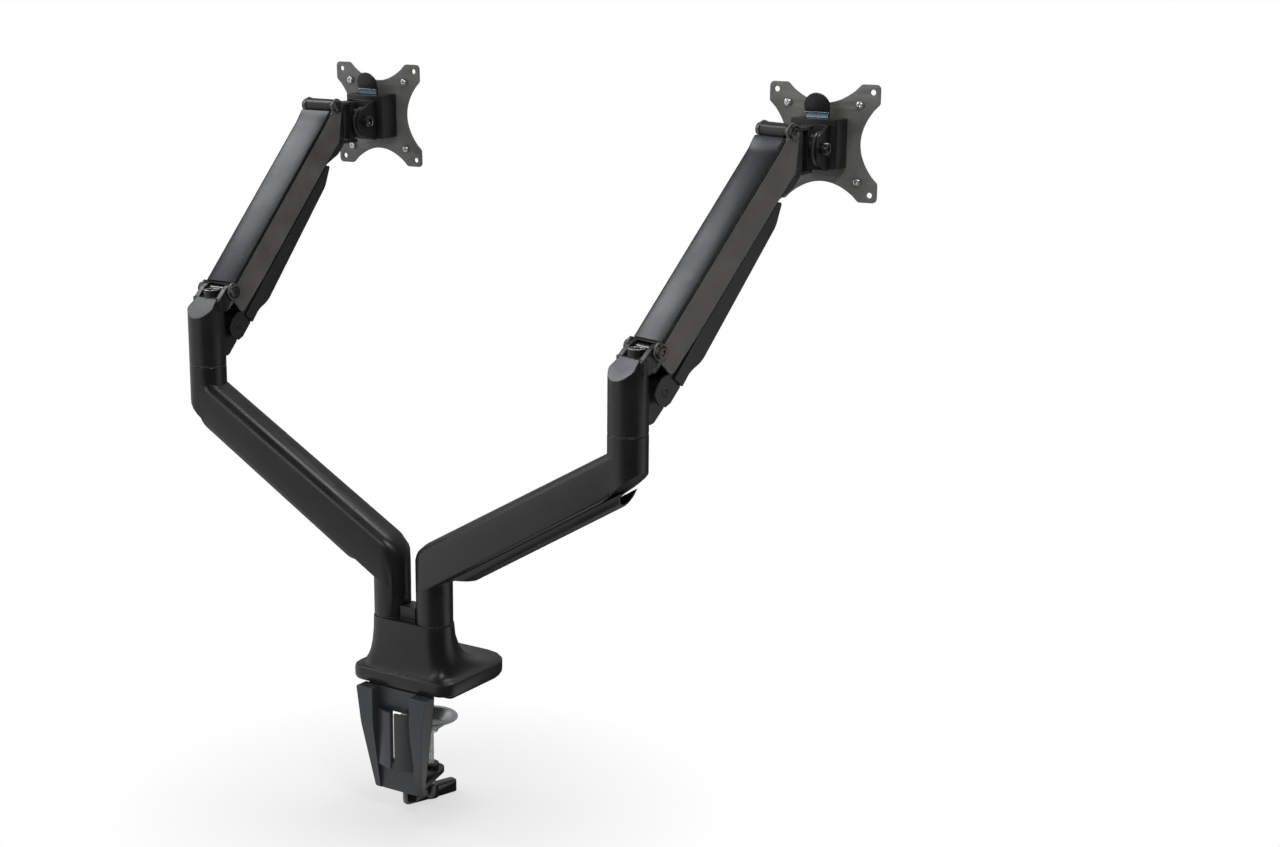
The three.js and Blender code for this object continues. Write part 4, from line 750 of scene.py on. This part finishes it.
def clamp_thread():
    """The clamp's screw with its thread, in place of the plain bar."""
    low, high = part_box("clamp_screw")
    radius = (high.x - low.x) / 2 / MM
    length = (high.z - low.z) / MM
    threaded = length - THREAD_TIP
    foot = Vector(((low.x + high.x) / 2, (low.y + high.y) / 2, low.z))

    def build(shape):
        count = int(threaded / THREAD_PITCH * THREAD_STEPS)
        rings = [thread_level(radius, threaded * step / count) for step in range(count + 1)]
        rings.append(ring(radius - THREAD_TIP, length))
        skin(shape, rings)

    place = Matrix.Translation(foot) @ Matrix.Scale(MM, 4)
    new_piece(
        "clamp_screw_thread", build, place, "zinc", "clamp_screw", stands_for=["clamp_screw"],
    )


def pad_tabs(shape):
    """The raised tabs on the floor of the dish."""
    levels = (
        (0.0, PAD_TAB_FOOT),
        (0.0, PAD_TAB_HEIGHT - PAD_TAB_EDGE),
        (PAD_TAB_EDGE, PAD_TAB_HEIGHT),
    )
    for tab in range(PAD_TABS):
        spin = Matrix.Rotation(2 * math.pi * (tab + 0.5) / PAD_TABS, 3, "Z")
        rings = []
        for inset, height in levels:
            near, far = PAD_TAB_START + inset, PAD_TAB_END - inset
            half = PAD_TAB_HALF - inset
            corners = ((near, -half), (far, -half), (far, half), (near, half))
            outline = rounded([(x, y, PAD_TAB_CORNER) for x, y in corners])
            rings.append([spin @ Vector((p.x, p.y, height - PAD_FLOOR_DEPTH)) for p in outline])
        skin(shape, rings)


def pad_dish():
    """The clamp's pressed pad: a wide rim round a recess with four raised tabs, on a hub."""
    low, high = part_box("clamp_pad")
    place = Matrix.Translation(((low.x + high.x) / 2, (low.y + high.y) / 2, high.z))
    place = place @ Matrix.Scale(MM, 4)
    foot = (low.z - high.z) / MM
    floor_level = -PAD_FLOOR_DEPTH
    profile = (
        (PAD_BORE_RADIUS, -PAD_BORE_TOP),
        (PAD_BORE_RADIUS, foot + 0.5),
        (PAD_BORE_RADIUS + 0.5, foot),
        (PAD_HUB_RADIUS - 0.6, foot),
        (PAD_HUB_RADIUS, foot + 0.6),
        (PAD_HUB_RADIUS, -PAD_DEPTH - 0.8),
        (PAD_HUB_RADIUS + 0.9, -PAD_DEPTH + 0.3),
        (PAD_INNER - 0.5, -PAD_SHEET - 2.2),
        (PAD_INNER + 1.5, -PAD_SHEET - 1.2),
        (PAD_RADIUS - 0.8, -PAD_SHEET),
        (PAD_RADIUS, -PAD_SHEET + 0.6),
        (PAD_RADIUS, -0.7),
        (PAD_RADIUS - 0.7, 0),
        (PAD_INNER + 0.6, 0),
        (PAD_INNER, -0.5),
        (PAD_INNER - 2, -2.5),
        (PAD_HUB_RADIUS + 5, floor_level + 0.5),
        (PAD_HUB_RADIUS + 4, floor_level),
        (1.0, floor_level),
    )

    def build(shape):
        skin(shape, [ring(radius, height) for radius, height in profile])
        pad_tabs(shape)

    new_piece("clamp_pad_pressed", build, place, "zinc", "clamp_pad", stands_for=["clamp_pad"])


def tube(outer, inner, foot, height, flats=0):
    """The rings of a short tube with broken top edges, its hole round or with flats."""
    edge = min(TUBE_EDGE, height / 3)
    top = foot + height
    return [
        ring(inner, foot, flats),
        ring(outer, foot),
        ring(outer, top - edge),
        ring(outer - edge, top),
        ring(inner + edge, top, flats),
        ring(inner, top - edge, flats),
    ]


def adjuster(side):
    """The bright ring and the brass key screw of the spring's adjuster, on top of the elbow."""
    place = elbow_place(side) @ Matrix.Translation((ADJUSTER_FORWARD, 0, 0))

    def build_ring(shape):
        foot = ADJUSTER_TOP + SEAT_GAP
        skin(shape, tube(RING_OUTER, RING_INNER, foot, RING_HEIGHT), looped=True)

    def build_key(shape):
        foot = ADJUSTER_KEY_FLOOR + SEAT_GAP
        skin(shape, tube(KEY_OUTER, KEY_INNER, foot, KEY_HEIGHT, 6), looped=True)

    body = f"{side}_elbow"
    new_piece(f"{side}_adjuster_ring", build_ring, place, "zinc", body, MATERIALS["screw_steel"])
    new_piece(f"{side}_adjuster_key", build_key, place, "zinc", body, MATERIALS["brass"])


# ---------- plates ----------

def rounded(corners, steps=6):
    """A closed outline of (y, z, radius) corners with each corner rounded."""
    points = []
    count = len(corners)
    for i, (y, z, radius) in enumerate(corners):
        here = Vector((y, z))
        back = (Vector(corners[i - 1][:2]) - here).normalized()
        onward = (Vector(corners[(i + 1) % count][:2]) - here).normalized()
        if not radius:
            points.append(here)
            continue
        half = back.angle(onward) / 2
        start = here + back * (radius / math.tan(half))
        end = here + onward * (radius / math.tan(half))
        centre = here + (back + onward).normalized() * (radius / math.sin(half))
        for step in range(steps + 1):
            arm = (start - centre).lerp(end - centre, step / steps).normalized()
            points.append(centre + arm * radius)
    return points


def plate_outline():
    """Four square-ended legs joined by hollow sides."""
    half, leg = PLATE_HALF, PLATE_LEG
    inset = half - leg
    quarter = [(half, half, PLATE_CORNER), (inset, half, PLATE_CORNER)]
    lead = PLATE_SIDE_LEAD
    first, last = Vector((inset - lead, half - lead)), Vector((lead - inset, half - lead))
    low = Vector((0, 2 * PLATE_WAIST - half + lead))
    for step in range(PLATE_SIDE_STEPS + 1):
        s = step / PLATE_SIDE_STEPS
        ease = first.lerp(low, s).lerp(low.lerp(last, s), s)
        quarter.append((ease.x, ease.y, 0))
    quarter.append((-inset, half, PLATE_CORNER))
    corners = []
    for turn in range(4):
        spin = Matrix.Rotation(turn * math.pi / 2, 2)
        corners += [(*(spin @ Vector((y, z))), r) for y, z, r in quarter]
    return rounded(corners)


def circle_at(y, z, radius):
    turns = (2 * math.pi * i / HOLE_STEPS for i in range(HOLE_STEPS))
    return [Vector((y + radius * math.cos(a), z + radius * math.sin(a))) for a in turns]


def flat_sheet(outlines, thickness, edge):
    """A sheet with holes and rounded edges: outlines in the YZ plane, X from 0 to thickness."""
    data = bpy.data.curves.new("sheet", "CURVE")
    data.dimensions = "2D"
    data.fill_mode = "BOTH"
    data.extrude = thickness / 2 - edge
    data.bevel_depth = edge
    data.bevel_resolution = 2
    data.offset = -edge
    for outline in outlines:
        spline = data.splines.new("POLY")
        spline.points.add(len(outline) - 1)
        for point, place in zip(spline.points, outline):
            point.co = (place.x, place.y, thickness / 2, 1)
        spline.use_cyclic_u = True
    holder = bpy.data.objects.new("sheet", data)
    mesh = bpy.data.meshes.new_from_object(holder)
    bpy.data.objects.remove(holder)
    bpy.data.curves.remove(data)
    mesh.transform(Matrix(((0, 0, 1, 0), (1, 0, 0, 0), (0, 1, 0, 0), (0, 0, 0, 1))))
    mesh.transform(Matrix.Translation((thickness / 2, 0, 0)))
    return mesh


def plate_tongue(shape):
    """The block on the plate's back that slides into its box."""
    across, up = TONGUE_HALF_WIDTH, TONGUE_HALF_HEIGHT
    corners = ((-across, -up), (across, -up), (across, up), (-across, up))
    outline = rounded([(y, z, TONGUE_CORNER) for y, z in corners])
    skin(shape, [[Vector((x, p.x, p.y)) for p in outline] for x in (-TONGUE_DEPTH, TONGUE_ROOT)])


def vesa_plate(side):
    holes = []
    for square in HOLE_SQUARES:
        for y, z in ((-1, -1), (1, -1), (1, 1), (-1, 1)):
            holes.append(circle_at(y * square / 2, z * square / 2, HOLE_RADIUS))

    def build(shape):
        sheet = flat_sheet([plate_outline(), *holes], PLATE_SHEET, PLATE_EDGE)
        shape.from_mesh(sheet)
        bpy.data.meshes.remove(sheet)
        bmesh.ops.remove_doubles(shape, verts=shape.verts, dist=SHEET_MERGE)
        plate_tongue(shape)

    new_piece(
        f"{side}_plate_sheet", build, plate_place(side), "black_coat", f"{side}_plate",
        MATERIALS["plate_coat"], [f"{side}_vesa_plate"],
    )


def latch_strip(side):
    """The bright bent strip at the foot of the release tab."""
    back = LATCH_BACK - STRIP_SEAT
    path = [Vector((back - away, height)) for away, height, wider in STRIP_BENDS]
    halves = [STRIP_HALF + wider for away, height, wider in STRIP_BENDS]
    last = len(path) - 1

    def build(shape):
        rings = []
        for i, (here, half) in enumerate(zip(path, halves)):
            ahead = path[min(i + 1, last)] - path[max(i - 1, 0)]
            off = here + Vector((-ahead.y, ahead.x)).normalized() * STRIP_SHEET
            rings.append([
                Vector((here.x, -half, here.y)),
                Vector((here.x, half, here.y)),
                Vector((off.x, half, off.y)),
                Vector((off.x, -half, off.y)),
            ])
        skin(shape, rings)

    new_piece(
        f"{side}_latch_strip", build, plate_place(side), "zinc", f"{side}_tab",
        MATERIALS["strip_steel"],
    )


# ---------- upper arms ----------

def lid_section(x):
    """The lid's section: crowned where it lies on the shell, flat and raised at its far end."""
    share = min(max((x - LID_BEND) / (LID_RISEN - LID_BEND), 0), 1)
    ease = share * share * (3 - 2 * share)
    foot = LID_FOOT + LID_RISE * ease
    thickness = LID_THICKNESS + (LID_LIP - LID_THICKNESS) * ease
    top = foot + thickness
    edge = min(LID_EDGE, thickness * LID_EDGE_SHARE)
    upper = []
    for i in range(2 * LID_CROWN_STEPS + 1):
        y = (LID_HALF - edge) * (1 - i / LID_CROWN_STEPS)
        fall = LID_CROWN * (1 - ease) * abs(y / LID_HALF) ** LID_CROWN_POWER
        upper.append((y, top - fall))
    out, shoulder = LID_HALF - edge, upper[0][1] - edge
    bend = [(out + edge * math.cos(a), shoulder + edge * math.sin(a)) for a in LID_EDGE_TURNS]
    other = [(-y, z) for y, z in reversed(bend)]
    section = [(LID_HALF, foot), *bend, *upper, *other, (-LID_HALF, foot)]
    return [Vector((x, y, z)) for y, z in section]


def upper_lid(side):
    step = (LID_RISEN - LID_BEND) / LID_RISE_STEPS
    rise = [LID_BEND + step * i for i in range(LID_RISE_STEPS + 1)]
    stations = [LID_START, LID_START + LID_NOSE, *LID_STATIONS, LID_BEND - LID_LEAD, *rise]
    stations += [(LID_RISEN + LID_END) / 2, LID_END]

    def build(shape):
        skin(shape, [lid_section(x) for x in stations])

    new_piece(
        f"{side}_lid_pressed", build, arm_place(side), "satin_coat", f"{side}_upper",
        stands_for=[f"{side}_upper_lid"],
    )


# ---------- stage ----------

def camera():
    yaw, pitch, roll = CAMERA_YAW, CAMERA_PITCH, CAMERA_ROLL
    right = Vector((math.cos(yaw), math.sin(yaw), 0))
    level = math.cos(pitch)
    forward = Vector((-math.sin(yaw) * level, math.cos(yaw) * level, -math.sin(pitch)))
    up = right.cross(forward)
    across = math.cos(roll) * right + math.sin(roll) * up
    above = -math.sin(roll) * right + math.cos(roll) * up
    data = bpy.data.cameras.new("camera")
    data.sensor_width = SENSOR_WIDTH
    data.lens = FOCAL_PIXELS / IMAGE_WIDTH * SENSOR_WIDTH
    place = Matrix((across, above, -forward)).transposed().to_4x4()
    place.translation = Vector(CAMERA_PLACE)
    view = bpy.data.objects.new("camera", data)
    view.matrix_world = place
    bpy.context.scene.collection.objects.link(view)
    bpy.context.scene.camera = view


def larger(n, first, second):
    """The larger of two values."""
    node = n.add("ShaderNodeMath", operation="MAXIMUM")
    n.join(first, node.inputs[0])
    n.join(second, node.inputs[1])
    return node.outputs["Value"]


def brightest(n, direction, panels):
    """How bright the studio is in a direction: the strongest of its panels."""
    level = None
    for towards, fade, full, value in panels:
        dot = n.add("ShaderNodeVectorMath", operation="DOT_PRODUCT")
        dot.inputs[1].default_value = Vector(towards).normalized()
        n.join(direction, dot.inputs[0])
        panel = n.range(dot.outputs["Value"], STUDIO_LEVEL, value, fade, full)
        level = panel if level is None else larger(n, level, panel)
    return level


def plain_share(n, place, path):
    """How much of the floor shows as plain light: more far away, and all of it in reflections."""
    far = n.add("ShaderNodeVectorMath", operation="LENGTH")
    n.join(place, far.inputs[0])
    plain = n.range(far.outputs["Value"], FLOOR_NEAR_GLOW, 1.0, FLOOR_NEAR, FLOOR_FAR)
    share = n.add("ShaderNodeMath", operation="MULTIPLY")
    n.join(path.outputs["Is Camera Ray"], share.inputs[0])
    n.join(plain, share.inputs[1])
    return larger(n, share.outputs["Value"], path.outputs["Is Glossy Ray"])


def floor_material():
    n = Nodes("pale_floor")
    place = n.add("ShaderNodeTexCoord").outputs["Object"]
    path = n.add("ShaderNodeLightPath")
    cloud = n.noise(place, FLOOR_CLOUD)
    n.join(n.ramp(cloud, FLOOR_DARKER, FLOOR_LIGHTER), n.shader.inputs["Base Color"])
    n.shader.inputs["Roughness"].default_value = FLOOR_ROUGHNESS
    outward = n.add("ShaderNodeVectorMath", operation="NORMALIZE")
    n.join(place, outward.inputs[0])
    reflected = brightest(n, outward.outputs["Vector"], (LEFT_PANEL, RIGHT_PANEL))
    glow = n.add("ShaderNodeEmission")
    n.join(larger(n, path.outputs["Is Camera Ray"], reflected), glow.inputs["Strength"])
    mix = n.add("ShaderNodeMixShader")
    n.join(plain_share(n, place, path), mix.inputs["Fac"])
    n.join(n.shader.outputs["BSDF"], mix.inputs[1])
    n.join(glow.outputs["Emission"], mix.inputs[2])
    n.join(mix.outputs["Shader"], n.tree.nodes["Material Output"].inputs["Surface"])
    return n.material


def floor():
    """A pale floor that keeps the object's shadow and turns to plain white away from it."""
    mesh = bpy.data.meshes.new("floor")
    shape = bmesh.new()
    bmesh.ops.create_grid(shape, x_segments=FLOOR_CELLS, y_segments=FLOOR_CELLS, size=FLOOR_HALF)
    shape.to_mesh(mesh)
    shape.free()
    mesh.materials.append(floor_material())
    ground = bpy.data.objects.new("floor", mesh)
    ground.location.z = CAD_BOX[0].z - FLOOR_DROP
    bpy.context.scene.collection.objects.link(ground)


def world():
    sky = bpy.data.worlds.new("studio")
    bpy.context.scene.world = sky
    sky.use_nodes = True
    n = Nodes.of(sky.node_tree)
    back = n.tree.nodes["Background"]
    back.inputs["Color"].default_value = (1.0, 1.0, 1.0, 1)
    direction = n.add("ShaderNodeTexCoord").outputs["Generated"]
    path = n.add("ShaderNodeLightPath")
    reflected = brightest(n, direction, (LEFT_PANEL, BACKDROP))
    n.join(larger(n, path.outputs["Is Camera Ray"], reflected), back.inputs["Strength"])


def softbox(name, direction, distance, width, height, power, colour):
    middle = (CAD_BOX[0] + CAD_BOX[1]) / 2
    away = Vector(direction).normalized()
    data = bpy.data.lights.new(name, "AREA")
    data.shape = "RECTANGLE"
    data.size, data.size_y = width, height
    data.energy = power
    data.color = colour
    lamp = bpy.data.objects.new(name, data)
    lamp.location = middle + away * distance
    lamp.rotation_euler = (-away).to_track_quat("-Z", "Y").to_euler()
    bpy.context.scene.collection.objects.link(lamp)


def studio():
    for lamp in SOFTBOXES:
        softbox(*lamp)


dress_solids()
clamp_thread()
pad_dish()
for side in SIDES:
    upper_lid(side)
    adjuster(side)
    headed_pin(side, "lift_pin", 0)
    head_end = span(f"{side}_head_pin", arm_place(side))[1].x
    headed_pin(side, "head_pin", head_end - PIN_HEAD_RADIUS)
    tilt_bolt(side)
    tilt_washer(side)
    vesa_plate(side)
    latch_strip(side)
    plate_screws(side)
camera()
floor()
world()
studio()
bpy.context.scene.view_settings.view_transform = "Standard"
